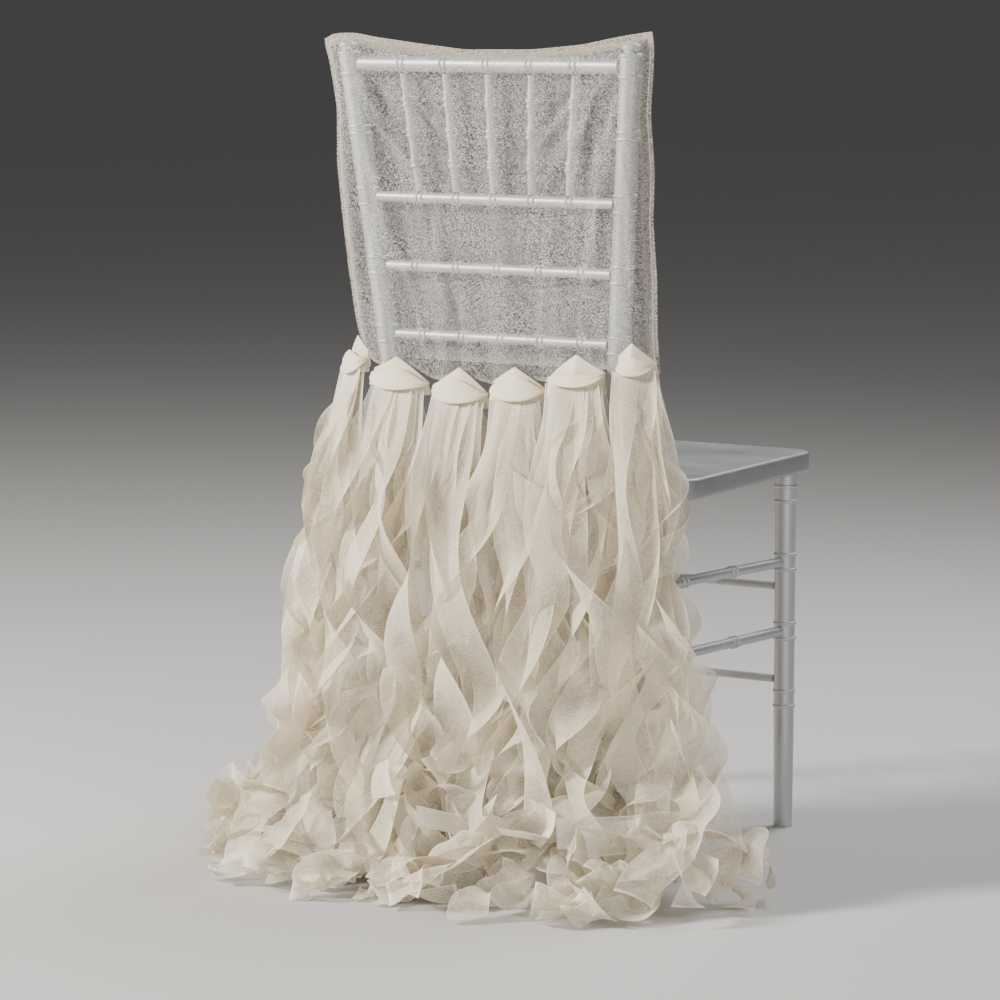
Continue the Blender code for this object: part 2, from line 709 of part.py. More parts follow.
def tree_of(item):
    graph = bpy.context.evaluated_depsgraph_get()
    evaluated = item.evaluated_get(graph)
    mesh = evaluated.to_mesh()
    points = [item.matrix_world @ vert.co for vert in mesh.vertices]
    faces = [tuple(face.vertices) for face in mesh.polygons]
    evaluated.to_mesh_clear()
    return BVHTree.FromPolygons(points, faces)


def head_tree(head):
    """A box round a head, so that no ribbon of a neighbour runs through it."""
    frame = head_frame(head)
    half = Vector((head["width"] / 2 + 0.001, HEAD_DEPTH / 2 + 0.001, 0))
    corners = []
    for z in (0.0015, head["rise"]):
        for sx, sy in ((-1, -1), (1, -1), (1, 1), (-1, 1)):
            corners.append(frame @ Vector((sx * half.x, sy * half.y, z)))
    faces = [(0, 1, 2, 3), (4, 5, 6, 7), (0, 1, 5, 4), (1, 2, 6, 5), (2, 3, 7, 6), (3, 0, 4, 7)]
    return BVHTree.FromPolygons(corners, faces)


def add_ribbons(solids, parent, material):
    draw = random.Random(SEED)
    trees = {item.name: tree_of(item) for item in solids}
    for head in HEADS:
        seat_head(head, [trees["rear_panel"], trees["front_panel"]])
    hung = list(trees.values()) + [head_tree(head) for head in HEADS]
    cells = ribbon_cells()
    for cell in cells:
        cell["rings"] = clear_ribbon(cell, hung, draw)
    for number, head in enumerate(HEADS, 1):
        own = [cell for cell in cells if cell["number"] == number]
        build_head(head, number, own, parent, material)


def centre_on_floor(root):
    """Moves the root so that the whole object stands centred over the origin."""
    bpy.context.view_layer.update()
    graph = bpy.context.evaluated_depsgraph_get()
    low, high = Vector((9, 9, 9)), Vector((-9, -9, -9))
    for item in bpy.context.scene.objects:
        if item.type != "MESH":
            continue
        mesh = item.evaluated_get(graph).to_mesh()
        for vert in mesh.vertices:
            point = item.matrix_world @ vert.co
            low = Vector(map(min, low, point))
            high = Vector(map(max, high, point))
    root.location = (-(low.x + high.x) / 2, -(low.y + high.y) / 2, -low.z)
    bpy.context.view_layer.update()
    print("root moved to", tuple(round(value, 5) for value in root.location))


def main():
    clear_scene()
    root = bpy.data.objects.new("chair_and_cover", None)
    bpy.context.scene.collection.objects.link(root)
    silver = make_material("silver_paint", SILVER, 0.34, 0.55)
    sheer = make_material("sheer_organza", SHEER, 0.42, 0.0)
    ivory = make_material("ivory_organza", IVORY, 0.45, 0.0)
    add_posts(root, silver)
    add_front_legs(root, silver)
    add_back(root, silver)
    add_stretchers(root, silver)
    add_seat(root, silver)
    add_panel("rear_panel", 15, 12, rear_hem, -1, FOLDS, root, sheer)
    add_panel("front_panel", 9, 7, lambda across: np.full_like(across, FRONT_HEM), 1, (), root, sheer)
    bpy.context.view_layer.update()
    solids = [item for item in bpy.context.scene.objects if item.type == "MESH"]
    add_ribbons(solids, root, ivory)
    centre_on_floor(root)


main()
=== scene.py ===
# A sheer sleeve on the back of a turned ballroom chair. Six knotted heads hang along its hem,
# and each lets wide curling ribbons fall to the floor.
# Metres. Shapes are worked out in the chair's own frame: x from the middle of its back, y from the
# bend of its rear posts, z from the floor. putMesh moves them to the frame's origin.

import math

import bpy
import numpy as np
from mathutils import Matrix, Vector


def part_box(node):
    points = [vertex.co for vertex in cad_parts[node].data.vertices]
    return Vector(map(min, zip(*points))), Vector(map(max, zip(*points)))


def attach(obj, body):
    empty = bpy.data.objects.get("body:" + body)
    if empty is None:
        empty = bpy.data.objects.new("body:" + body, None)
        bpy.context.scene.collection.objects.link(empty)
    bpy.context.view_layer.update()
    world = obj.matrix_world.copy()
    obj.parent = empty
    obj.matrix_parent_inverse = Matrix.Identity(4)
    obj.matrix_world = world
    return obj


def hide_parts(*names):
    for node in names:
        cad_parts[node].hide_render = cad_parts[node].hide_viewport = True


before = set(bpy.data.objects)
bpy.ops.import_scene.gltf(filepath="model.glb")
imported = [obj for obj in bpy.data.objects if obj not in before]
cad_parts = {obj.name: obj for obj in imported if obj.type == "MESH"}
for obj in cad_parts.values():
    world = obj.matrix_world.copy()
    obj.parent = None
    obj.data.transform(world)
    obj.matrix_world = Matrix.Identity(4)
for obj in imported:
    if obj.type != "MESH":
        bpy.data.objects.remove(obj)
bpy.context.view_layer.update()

seatLow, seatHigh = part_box("seat")
seatFront = 0.357  # from the posts' bend to the seat's front edge
shift = np.array([(seatLow[0] + seatHigh[0]) / 2, seatHigh[1] - seatFront, 0.0])
print("frame loaded, the chair's own frame is moved by", shift.round(4))


# Meshes

def putMesh(name, points, faces, material, flat=None, marks=None):
    # points (n, 3) are moved by the shift; flat (n, 2) is where each lies on the flat cloth, in metres;
    # marks holds named values, one for each point
    points = np.asarray(points, dtype=np.float64).reshape(-1, 3) + shift
    mesh = bpy.data.meshes.new(name)
    mesh.from_pydata(points.tolist(), [], faces.tolist() if isinstance(faces, np.ndarray) else faces)
    if flat is not None:
        layer = mesh.uv_layers.new(name="cloth")
        corners = np.empty(len(mesh.loops), dtype=np.int32)
        mesh.loops.foreach_get("vertex_index", corners)
        layer.data.foreach_set("uv", np.asarray(flat)[corners].astype(np.float32).ravel())
    for key, values in (marks or {}).items():
        mark = mesh.attributes.new(key, "FLOAT", "POINT")
        mark.data.foreach_set("value", np.asarray(values, dtype=np.float32).ravel())
    mesh.validate()
    mesh.shade_smooth()
    piece = bpy.data.objects.new(name, mesh)
    bpy.context.scene.collection.objects.link(piece)
    piece.data.materials.append(material)
    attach(piece, "root")
    return piece


def gridFaces(lines, places, closeAcross=False):
    # quads between neighbours of a (lines, places) grid of points, row by row
    across = np.arange(places if closeAcross else places - 1)
    along = np.arange(lines - 1)[:, None] * places
    here, after = along + across, along + (across + 1) % places
    return np.stack([here, after, after + places, here + places], axis=-1).reshape(-1, 4)


def closedTube(lines, places):
    # the grid's quads, and triangles that close its first and last rows on two points after the grid
    first, count = np.arange(places), lines * places
    last = first + count - places
    start = np.stack([np.full(places, count), np.roll(first, -1), first], axis=-1)
    end = np.stack([np.full(places, count + 1), last, np.roll(last, -1)], axis=-1)
    return gridFaces(lines, places, closeAcross=True).tolist() + start.tolist() + end.tolist()


def softStep(x):
    # 3 x^2 - 2 x^3 from 0 to 1, and level outside
    x = np.clip(x, 0.0, 1.0)
    return x * x * (3 - 2 * x)


# Materials

def newGroup(name, inputs, outputs):
    group = bpy.data.node_groups.new(name, "ShaderNodeTree")
    for label, kind, value in inputs:
        socket = group.interface.new_socket(name=label, in_out="INPUT", socket_type=kind)
        if value is not None:
            socket.default_value = value
    for label, kind in outputs:
        group.interface.new_socket(name=label, in_out="OUTPUT", socket_type=kind)
    return group, group.nodes.new("NodeGroupInput"), group.nodes.new("NodeGroupOutput")


def giveOut(group, result, **sockets):
    for key, socket in sockets.items():
        group.links.new(socket, result.inputs[key])
    return group


def setInputs(node, **values):
    for key, value in values.items():
        node.inputs[key.replace("_", " ")].default_value = value


def addMath(tree, operation, first, second=None, clamp=False):
    # a Math node on two sockets or numbers
    node = tree.nodes.new("ShaderNodeMath")
    node.operation = operation
    node.use_clamp = clamp
    for socket, value in zip(node.inputs, (first, second)):
        if hasattr(value, "is_linked"):
            tree.links.new(value, socket)
        elif value is not None:
            socket.default_value = value
    return node.outputs[0]


def plus(tree, first, second, clamp=False):
    return addMath(tree, "ADD", first, second, clamp)


def times(tree, first, second):
    return addMath(tree, "MULTIPLY", first, second)


def addNoise(tree, vector, scale, detail, roughness=0.5, flat=False):
    node = tree.nodes.new("ShaderNodeTexNoise")
    node.noise_dimensions = "2D" if flat else "3D"
    setInputs(node, Scale=scale, Detail=detail, Roughness=roughness)
    tree.links.new(vector, node.inputs["Vector"])
    return node.outputs["Fac"]


def addCells(tree, vector, scale):
    # one random value for each small cell
    node = tree.nodes.new("ShaderNodeTexVoronoi")
    node.voronoi_dimensions = "2D"
    setInputs(node, Scale=scale)
    tree.links.new(vector, node.inputs["Vector"])
    parts = tree.nodes.new("ShaderNodeSeparateColor")
    tree.links.new(node.outputs["Color"], parts.inputs[0])
    return parts.outputs[0]


def addSpread(tree, value, low, high):
    # low to high becomes -1 to 1
    node = tree.nodes.new("ShaderNodeMapRange")
    setInputs(node, From_Min=low, From_Max=high, To_Min=-1.0, To_Max=1.0)
    tree.links.new(value, node.inputs["Value"])
    return node.outputs["Result"]


def mixColours(tree, share, first, second):
    node = tree.nodes.new("ShaderNodeMix")
    node.data_type = "RGBA"
    tree.links.new(share, node.inputs["Factor"])
    for socket, value in ((node.inputs[6], first), (node.inputs[7], second)):
        if isinstance(value, tuple):
            socket.default_value = value
        else:
            tree.links.new(value, socket)
    return node.outputs[2]


organzaGrain = dict(  # scales are per metre: specks about 1.2 mm across, blotches 3 mm, clouds 40 mm
    speckScale=800.0, blotchScale=330.0, cloudScale=24.0, specks=0.82, blotches=0.18,
    cloudMean=0.82, cloudSpread=0.30, toneAndGlint=1.3, threadWidth=0.0009,
)
paintGrain = dict(
    fineScale=1500.0, cloudScale=14.0, streakStretch=(12.0, 160.0, 160.0), streakScale=3.0,
    fine=0.35, cloud=0.35, roughness=0.40, cloudRoughness=0.22, streakHeight=0.8,
)


def organzaGroup():
    # Grain is random specks and blotches, from -1 to 1, made stronger and weaker by a slow cloud; in the
    # colour its bright specks are painted glints.
    # Light that gets through = (1 - Cover) ^ Layers, so the cloth is denser doubled or at a slant.
    # Alpha is the rest of the light, with the grain in what gets through. Height is two crossed
    # sine waves, the threads.
    look = organzaGrain
    group, given, result = newGroup(
        "organzaWeave",
        [("Vector", "NodeSocketVector", None), ("Cover", "NodeSocketFloat", 0.5),
         ("Layers", "NodeSocketFloat", 1.0), ("Glitter", "NodeSocketFloat", 0.3)],
        [("Alpha", "NodeSocketFloat"), ("Shine", "NodeSocketFloat"), ("Height", "NodeSocketFloat")],
    )
    vector = given.outputs["Vector"]
    specks = addSpread(group, addCells(group, vector, look["speckScale"]), 0.0, 1.0)
    blotches = addSpread(group, addNoise(group, vector, look["blotchScale"], 1.0, 0.7, True), 0.3, 0.7)
    cloud = addSpread(group, addNoise(group, vector, look["cloudScale"], 1.0, 0.5, True), 0.3, 0.7)
    grain = plus(group, times(group, specks, look["specks"]), times(group, blotches, look["blotches"]))
    patchy = plus(group, look["cloudMean"], times(group, cloud, look["cloudSpread"]))
    texture = times(group, times(group, grain, given.outputs["Glitter"]), patchy)
    gaps = addMath(group, "SUBTRACT", 1.0, given.outputs["Cover"])
    through = addMath(group, "POWER", gaps, given.outputs["Layers"])
    alpha = plus(group, addMath(group, "SUBTRACT", 1.0, through), times(group, texture, through), clamp=True)
    # the share of the bright colour: random tone, with painted glints where the specks are bright
    toneAndGlint = plus(group, 0.5, times(group, texture, look["toneAndGlint"]), clamp=True)
    split = group.nodes.new("ShaderNodeSeparateXYZ")
    group.links.new(vector, split.inputs[0])
    turns = 2 * math.pi / look["threadWidth"]
    warp = addMath(group, "SINE", times(group, split.outputs["X"], turns))
    weft = addMath(group, "SINE", times(group, split.outputs["Y"], turns))
    return giveOut(group, result, Alpha=alpha, Shine=toneAndGlint, Height=times(group, warp, weft))


def paintGroup():
    # Fine grain of sprayed metallic paint, a slow cloud, and streaks drawn out along the grain
    look = paintGrain
    group, given, result = newGroup(
        "silverGrain",
        [("Vector", "NodeSocketVector", None), ("Streaks", "NodeSocketFloat", 0.3)],
        [("Tone", "NodeSocketFloat"), ("Roughness", "NodeSocketFloat"), ("Height", "NodeSocketFloat")],
    )
    vector = given.outputs["Vector"]
    stretch = group.nodes.new("ShaderNodeMapping")
    setInputs(stretch, Scale=look["streakStretch"])
    group.links.new(vector, stretch.inputs["Vector"])
    fine = addNoise(group, vector, look["fineScale"], 1.0)
    cloud = addNoise(group, vector, look["cloudScale"], 2.0)
    streaks = addNoise(group, stretch.outputs[0], look["streakScale"], 2.0)
    tone = 0.5
    for noise, share in ((streaks, given.outputs["Streaks"]), (cloud, look["cloud"]), (fine, look["fine"])):
        around = addMath(group, "SUBTRACT", noise, 0.5)
        tone = plus(group, tone, times(group, around, share), clamp=noise is fine)
    rough = plus(group, look["roughness"], times(group, cloud, look["cloudRoughness"]))
    height = plus(group, fine, times(group, streaks, look["streakHeight"]))
    return giveOut(group, result, Tone=tone, Roughness=rough, Height=height)


organzaWeave = organzaGroup()
silverGrain = paintGroup()


def startMaterial(name):
    material = bpy.data.materials.new(name)
    material.use_nodes = True
    tree = material.node_tree
    return material, tree, tree.nodes["Principled BSDF"]


def placeGroup(tree, group, **values):
    node = tree.nodes.new("ShaderNodeGroup")
    node.node_tree = group
    setInputs(node, **values)
    return node


def addBump(tree, shader, height, strength, distance):
    bump = tree.nodes.new("ShaderNodeBump")
    setInputs(bump, Strength=strength, Distance=distance)
    tree.links.new(height, bump.inputs["Height"])
    tree.links.new(bump.outputs[0], shader.inputs["Normal"])


def organza(name, look):
    # Layers = (1 + doubled) / how squarely the cloth faces the eye. Colour runs from dull to bright with the
    # grain, which is random tone with painted glints in its bright specks, and towards the folded colour where
    # the cloth is doubled.
    material, tree, shader = startMaterial(name)
    flat = tree.nodes.new("ShaderNodeUVMap")
    flat.uv_map = "cloth"
    doubled = tree.nodes.new("ShaderNodeAttribute")
    doubled.attribute_name = "doubled"
    slant = tree.nodes.new("ShaderNodeLayerWeight")
    setInputs(slant, Blend=0.5)
    facing = addMath(tree, "SUBTRACT", 1.08, slant.outputs["Facing"])
    layers = addMath(tree, "DIVIDE", plus(tree, 1.0, doubled.outputs["Fac"]), facing)
    weave = placeGroup(tree, organzaWeave, Cover=look["cover"], Glitter=look["grainAndGlint"])
    tree.links.new(flat.outputs[0], weave.inputs["Vector"])
    tree.links.new(layers, weave.inputs["Layers"])
    colour = mixColours(tree, weave.outputs["Shine"], look["dull"], look["bright"])
    share = addMath(tree, "MULTIPLY", doubled.outputs["Fac"], look["foldedShare"], clamp=True)
    colour = mixColours(tree, share, colour, look["folded"])
    tree.links.new(colour, shader.inputs["Base Color"])
    tree.links.new(weave.outputs["Alpha"], shader.inputs["Alpha"])
    setInputs(shader, Roughness=look["roughness"], Sheen_Weight=look["sheen"], Sheen_Roughness=0.35,
              Specular_IOR_Level=0.4)
    addBump(tree, shader, weave.outputs["Height"], 0.3, 0.00006)
    return material


def silverPaint(name, streaks, dark, light):
    # metallic paint whose grain runs from dark to light
    material, tree, shader = startMaterial(name)
    place = tree.nodes.new("ShaderNodeTexCoord")
    grain = placeGroup(tree, silverGrain, Streaks=streaks)
    tree.links.new(place.outputs["Object"], grain.inputs["Vector"])
    tree.links.new(mixColours(tree, grain.outputs["Tone"], dark, light), shader.inputs["Base Color"])
    tree.links.new(grain.outputs["Roughness"], shader.inputs["Roughness"])
    setInputs(shader, Metallic=0.72)
    addBump(tree, shader, grain.outputs["Height"], 0.15, 0.0002)
    return material


# dull to bright is each cloth's tone, and bright is also the colour of its painted glints
sheerOrganza = organza("sheerOrganza", dict(
    dull=(0.34, 0.32, 0.29, 1), bright=(0.99, 0.96, 0.90, 1), folded=(0.72, 0.60, 0.49, 1),
    foldedShare=0.7, cover=0.20, grainAndGlint=0.35, roughness=0.40, sheen=0.15))
ivoryOrganza = organza("ivoryOrganza", dict(
    dull=(0.80, 0.69, 0.51, 1), bright=(0.99, 0.93, 0.78, 1), folded=(1.0, 0.95, 0.82, 1),
    foldedShare=0.7, cover=0.43, grainAndGlint=0.26, roughness=0.48, sheen=0.25))
knottedOrganza = organza("knottedOrganza", dict(
    dull=(0.91, 0.75, 0.54, 1), bright=(0.99, 0.90, 0.71, 1), folded=(0.98, 0.89, 0.71, 1),
    foldedShare=0.6, cover=0.93, grainAndGlint=0.08, roughness=0.52, sheen=0.2))
turnedSilver = silverPaint("turnedSilver", 0.15, (0.46, 0.47, 0.48, 1), (0.78, 0.79, 0.80, 1))
# the seat is the same silver paint as the turned members; its darker colour is painted shade and painted dark
# reflections, and its stronger streaks are brushing
shadedSeatSilver = silverPaint("shadedSeatSilver", 0.60, (0.24, 0.25, 0.26, 1), (0.50, 0.51, 0.52, 1))
print("materials made")


# Chair: every member is a turned profile carried along its own line

chair = dict(
    seatTop=0.447, seatThick=0.0235, seatRearHalf=0.226, seatFrontHalf=0.207, seatCorner=0.030,
    seatRound=0.0045, postRadius=0.0128, postTop=0.9293, postHalfTop=0.187, postHalfBend=0.1405,
    bend=0.46, recline=0.044, rearFootHalf=0.184, rearFootY=0.010, frontHalf=0.1845, frontY=0.319,
    frontRadius=0.0125, footRadius=0.0105, ringHeight=0.0014, ringHalf=0.0021, ringGap=0.003,
    gap=0.0003, sides=40, legRings=(0.154, 0.398),
)
finial = [  # below the post's top, and radius
    (0.0122, 0.0106), (0.0112, 0.0079), (0.0098, 0.0086), (0.0080, 0.0106), (0.0062, 0.0110),
    (0.0042, 0.0104), (0.0022, 0.0082), (0.0008, 0.0050), (0.0, 0.0008),
]
rails = [
    dict(height=0.9026, radius=0.0085, ring=0.615),
    dict(height=0.7524, radius=0.0062, ring=0.585),
    dict(height=0.6741, radius=0.0060, ring=0.68),
    dict(height=0.5956, radius=0.0060, ring=0.68),
]
stretchers = dict(side=(0.317, 0.235), front=(0.287, 0.176), back=0.262, sideRadius=0.0060,
                  frontRadius=0.0047, sideRing=0.004, frontRing=0.006)
bothSides = ((-1, "left"), (1, "right"))
spindles = dict(count=5, radius=0.0063, topRadius=0.0043, knots=(0.24, 0.5, 0.76), knotHalf=0.012)


def aboveBend(height):
    # 0 at the rear posts' bend and 1 at their tops
    return (height - chair["bend"]) / (chair["postTop"] - chair["bend"])


def postHalf(share):
    return chair["postHalfBend"] + (chair["postHalfTop"] - chair["postHalfBend"]) * share


def postCentre(height):
    # half spacing and y of the rear posts: straight below the bend and straight above it
    up, down = np.clip(aboveBend(height), 0, 1), np.clip(1 - height / chair["bend"], 0, 1)
    half = postHalf(up) + (chair["rearFootHalf"] - chair["postHalfBend"]) * down
    return half, chair["rearFootY"] * down - chair["recline"] * up


def backPlane(height):
    # y of the back's middle plane, which leans back evenly
    return -chair["recline"] * aboveBend(height)


def turnedProfile(base, rings):
    # radius along a member: straight lines between the base's points, plus a half round at each ring
    half = chair["ringHalf"]
    places, radii = np.array(base).T
    bumps = np.cos(np.linspace(0, np.pi, 9)) * half
    along = np.sort(np.concatenate([places] + [ring + bumps for ring in rings]))
    radius = np.interp(along, places, radii)
    for ring in rings:
        radius += chair["ringHeight"] * np.sqrt(np.clip(1 - ((along - ring) / half) ** 2, 0, 1))
    return along, radius


def turnedPiece(node, radius, centres, ways):
    # circles of the given radii about a line, square to its ways; both ends close on the line
    sides = chair["sides"]
    angle = np.linspace(0, 2 * np.pi, sides, endpoint=False)[None, :, None]
    reference = np.array([0.0, 1.0, 0.0]) if abs(ways[0][1]) < 0.9 else np.array([1.0, 0.0, 0.0])
    first = np.cross(reference, ways)
    first /= np.linalg.norm(first, axis=-1, keepdims=True)
    second = np.cross(ways, first)
    circle = np.cos(angle) * first[:, None] + np.sin(angle) * second[:, None]
    points = centres[:, None] + circle * radius[:, None, None]
    points = np.concatenate([points.reshape(-1, 3), centres[:1], centres[-1:]])
    piece = putMesh(node + "_turned", points, closedTube(len(radius), sides), turnedSilver)
    piece.data.set_sharp_from_angle(angle=math.radians(60))
    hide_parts(node)


def barPiece(node, start, end, base, rings):
    # a turned piece on the straight line from start to end
    start, end = np.array(start, float), np.array(end, float)
    along, radius = turnedProfile(base, rings)
    way = (end - start) / np.linalg.norm(end - start)
    turnedPiece(node, radius, start + along[:, None] * way, np.tile(way, (len(along), 1)))


def crossBar(node, reach, y, z, radius, rings):
    # a bar of one radius across the chair, rings measured from its left end
    barPiece(node, (-reach, y, z), (reach, y, z), [(0.0, radius), (2 * reach, radius)], rings)


def ringPair(place, spread):
    return [place - spread, place + spread]


def buildPosts():
    top, r, foot = chair["postTop"], chair["postRadius"], chair["footRadius"]
    base = [(0.0, foot), (0.0006, foot + 0.0005), (0.14, r - 0.0008), (0.405, r), (0.44, r),
            (0.455, r), (0.465, r), (0.48, r), (0.53, r), (top - 0.014, r - 0.0004)]
    base += [(top - below, radius) for below, radius in finial]
    rings = []
    for height in stretchers["side"]:
        rings += ringPair(height, stretchers["sideRadius"] + chair["ringGap"])
    for rail in rails[1:]:
        rings += ringPair(rail["height"], rail["radius"] + chair["ringGap"])
    rings += ringPair((rails[0]["height"] + rails[1]["height"]) / 2, 0.004)
    rings += ringPair(rails[0]["height"], rails[0]["radius"] + 0.0032)
    along, radius = turnedProfile(base, rings)
    half, depth = postCentre(along)
    for side, label in bothSides:
        centres = np.stack([side * half, depth, along], axis=-1)
        turnedPiece("back_post_" + label, radius, centres, np.tile([0.0, 0.0, 1.0], (len(along), 1)))


def buildFrontLegs():
    top, r = chair["seatTop"] - chair["seatThick"] - chair["gap"], chair["frontRadius"]
    foot = chair["footRadius"]
    base = [(0.0, foot), (0.0006, foot + 0.0005), (0.12, r - 0.0006), (top, r)]
    rings = []
    for height in chair["legRings"] + stretchers["side"]:
        rings += ringPair(height, stretchers["sideRadius"] + chair["ringGap"])
    for side, label in bothSides:
        x, y = side * chair["frontHalf"], chair["frontY"]
        barPiece("front_leg_" + label, (x, y, 0), (x, y, top), base, sorted(rings))


def spindleEnd(index, rail):
    # x of a spindle on a rail: evenly spaced between the rail's outermost rings
    outer = rail["ring"] * postCentre(rail["height"])[0]
    return outer * (2 * index / (spindles["count"] - 1) - 1)


def buildBack():
    lean = (chair["postHalfTop"] - chair["postHalfBend"]) / (chair["postTop"] - chair["bend"])
    for number, rail in enumerate(rails, 1):
        half, depth = postCentre(rail["height"])
        reach = half - chair["postRadius"] - chair["gap"] - rail["radius"] * lean
        rings = [reach + spindleEnd(i, rail) + step for i in range(spindles["count"])
                 for step in (-0.0032, 0.0032)]
        crossBar(f"back_rail_{number}", reach, depth, rail["height"], rail["radius"], rings)
    upper, lower = rails[0], rails[1]
    topZ = upper["height"] - upper["radius"] - chair["ringHeight"] - chair["gap"]
    lowZ = lower["height"] + lower["radius"] + chair["ringHeight"] + chair["gap"]
    for i in range(spindles["count"]):
        start = np.array([spindleEnd(i, lower), backPlane(lowZ), lowZ])
        end = np.array([spindleEnd(i, upper), backPlane(topZ), topZ])
        length = np.linalg.norm(end - start) - 0.0004
        base, rings = [(0.0, spindles["topRadius"] + 0.0007)], []
        for share in spindles["knots"]:
            r, middle, half = spindles["radius"] - 0.0012 * share, share * length, spindles["knotHalf"]
            base += [(middle - half, r - 0.0006), (middle, r + 0.0004), (middle + half, r - 0.0007)]
            rings += ringPair(middle, 0.0034)
        barPiece(f"spindle_{i + 1}", start, end, base + [(length, spindles["topRadius"])], rings)


def buildStretchers():
    r, gap = stretchers["sideRadius"], chair["gap"]
    for side, label in bothSides:
        for number, height in enumerate(stretchers["side"], 1):
            half, depth = postCentre(height)
            rear = np.array([side * half, depth, height])
            front = np.array([side * chair["frontHalf"], chair["frontY"], height])
            way = (front - rear) / np.linalg.norm(front - rear)
            start, end = rear + way * (chair["postRadius"] + gap), front - way * (chair["frontRadius"] + gap)
            length = np.linalg.norm(end - start)
            step = stretchers["sideRing"]
            rings = ringPair(length / 3, step) + ringPair(length * 2 / 3, step)
            barPiece(f"side_stretcher_{label}_{number}", start, end, [(0, r), (length, r)], rings)
    reach, r = chair["frontHalf"] - chair["frontRadius"] - gap, stretchers["frontRadius"]
    step = stretchers["frontRing"]
    for number, height in enumerate(stretchers["front"], 1):
        rings = [reach - step, reach, reach + step]
        crossBar(f"front_stretcher_{number}", reach, chair["frontY"], height, r, rings)
    half, depth = postCentre(stretchers["back"])
    reach = half - chair["postRadius"] - gap - 0.0006
    crossBar("back_stretcher", reach, depth, stretchers["back"], stretchers["sideRadius"], [reach])


def buildSeat():
    # outline: straight sides joined by quarter rounds; its edge is a quarter round above and below
    top, thick, soft, corner = (chair[key] for key in ("seatTop", "seatThick", "seatRound", "seatCorner"))
    rear = chair["rearFootY"] * (1 - (top - thick) / chair["bend"]) + chair["postRadius"] + chair["gap"]
    corners = [(chair["seatRearHalf"], rear, -90), (chair["seatFrontHalf"], seatFront, 0),
               (-chair["seatFrontHalf"], seatFront, 90), (-chair["seatRearHalf"], rear, 180)]
    rows = []
    for x, y, start in corners:
        centreX = x - math.copysign(corner, x)
        centreY = y + (corner if y == rear else -corner)
        angle = np.radians(start) + np.radians(np.linspace(0, 90, 12))
        cosine, sine, r = np.cos(angle), np.sin(angle), corner - soft
        rows.append(np.stack([centreX + r * cosine, centreY + r * sine, cosine, sine], axis=-1))
    outline = np.concatenate(rows)
    edge = np.radians(np.linspace(-90, 0, 7))
    out = np.concatenate([np.cos(edge), np.cos(edge)[::-1]]) * soft
    height = np.concatenate([top - thick + soft + soft * np.sin(edge),
                             (top - soft - soft * np.sin(edge))[::-1]])
    rings = outline[None, :, :2] + out[:, None, None] * outline[None, :, 2:]
    height = np.broadcast_to(height[:, None, None], rings.shape[:2] + (1,))
    points = np.concatenate([rings, height], axis=-1).reshape(-1, 3)
    middles = np.array([[0, (rear + seatFront) / 2, top - thick], [0, (rear + seatFront) / 2, top]])
    # the seat board takes the darker silver, which is painted shade
    piece = putMesh("seat_board", np.concatenate([points, middles]), closedTube(*rings.shape[:2]), shadedSeatSilver)
    piece.data.set_sharp_from_angle(angle=math.radians(40))
    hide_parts("seat")


buildPosts()
buildFrontLegs()
buildBack()
buildStretchers()
buildSeat()
print("chair members turned")


# Sleeve: two sheets that meet at the side and top seams, round over the posts and the top rail

sleeve = dict(
    depth=0.0176, sag=0.0030, seam=0.0062, frontHem=0.566, half=0.00075, hemWidth=0.005, topBand=0.013,
    seamLine=0.0095, seamWidth=0.0012, start=(0.93, 0.37), closer=1.35, roll=(0.015, 0.005),
    rearGrid=(210, 180), rearCreases=34, frontGrid=(150, 130), frontCreases=12, seed=4,
    flat=(0.45, 0.385),
)
sideSeams = np.array([  # height, half width on the left and on the right
    (0.530, 0.1880, 0.2045), (0.575, 0.1900, 0.2045), (0.609, 0.1975, 0.2030), (0.668, 0.2038, 0.2055),
    (0.735, 0.2085, 0.2040), (0.790, 0.2112, 0.2085), (0.852, 0.2068, 0.2065), (0.905, 0.2135, 0.2130),
    (0.926, 0.2190, 0.2145), (0.940, 0.2170, 0.2125),
])
topSeam = np.array([  # across, height
    (-0.219, 0.9270), (-0.214, 0.9335), (-0.203, 0.9363), (-0.176, 0.9370), (-0.150, 0.9325), (-0.097, 0.9262),
    (-0.030, 0.9192), (0.060, 0.9200), (0.123, 0.9256), (0.170, 0.9345), (0.214, 0.9408),
])
rearHem = np.array([
    (-0.190, 0.578), (-0.158, 0.559), (-0.118, 0.562), (-0.082, 0.545), (-0.040, 0.552), (0.000, 0.543),
    (0.037, 0.553), (0.074, 0.551), (0.115, 0.566), (0.155, 0.571), (0.175, 0.585), (0.206, 0.586),
])
mainFolds = [  # start and end (across, height), how far it stands out, half width
    ((-0.172, 0.9), (-0.085, 0.77), 0.0056, 0.011), ((-0.176, 0.88), (-0.125, 0.7), 0.0046, 0.01),
    ((-0.19, 0.83), (-0.178, 0.6), 0.004, 0.008), ((0.176, 0.9), (0.095, 0.79), 0.006, 0.011),
    ((0.182, 0.885), (0.135, 0.69), 0.005, 0.009), ((0.192, 0.86), (0.18, 0.61), 0.0044, 0.008),
    ((-0.07, 0.73), (-0.062, 0.56), 0.0042, 0.012), ((0.015, 0.86), (0.02, 0.575), 0.0036, 0.013),
    ((0.085, 0.7), (0.092, 0.57), 0.0048, 0.011), ((-0.02, 0.7), (-0.01, 0.56), -0.003, 0.01),
    ((0.05, 0.68), (0.055, 0.565), -0.003, 0.012),
]


def softCurve(table, column, at):
    # a table's curve with its corners rounded: the mean of five readings spread over 16 mm
    spread = np.array([-0.008, -0.004, 0.0, 0.004, 0.008])
    return np.mean([np.interp(at + step, table[:, 0], table[:, column]) for step in spread], axis=0)


def sleeveTop(across):
    return softCurve(topSeam, 1, across)


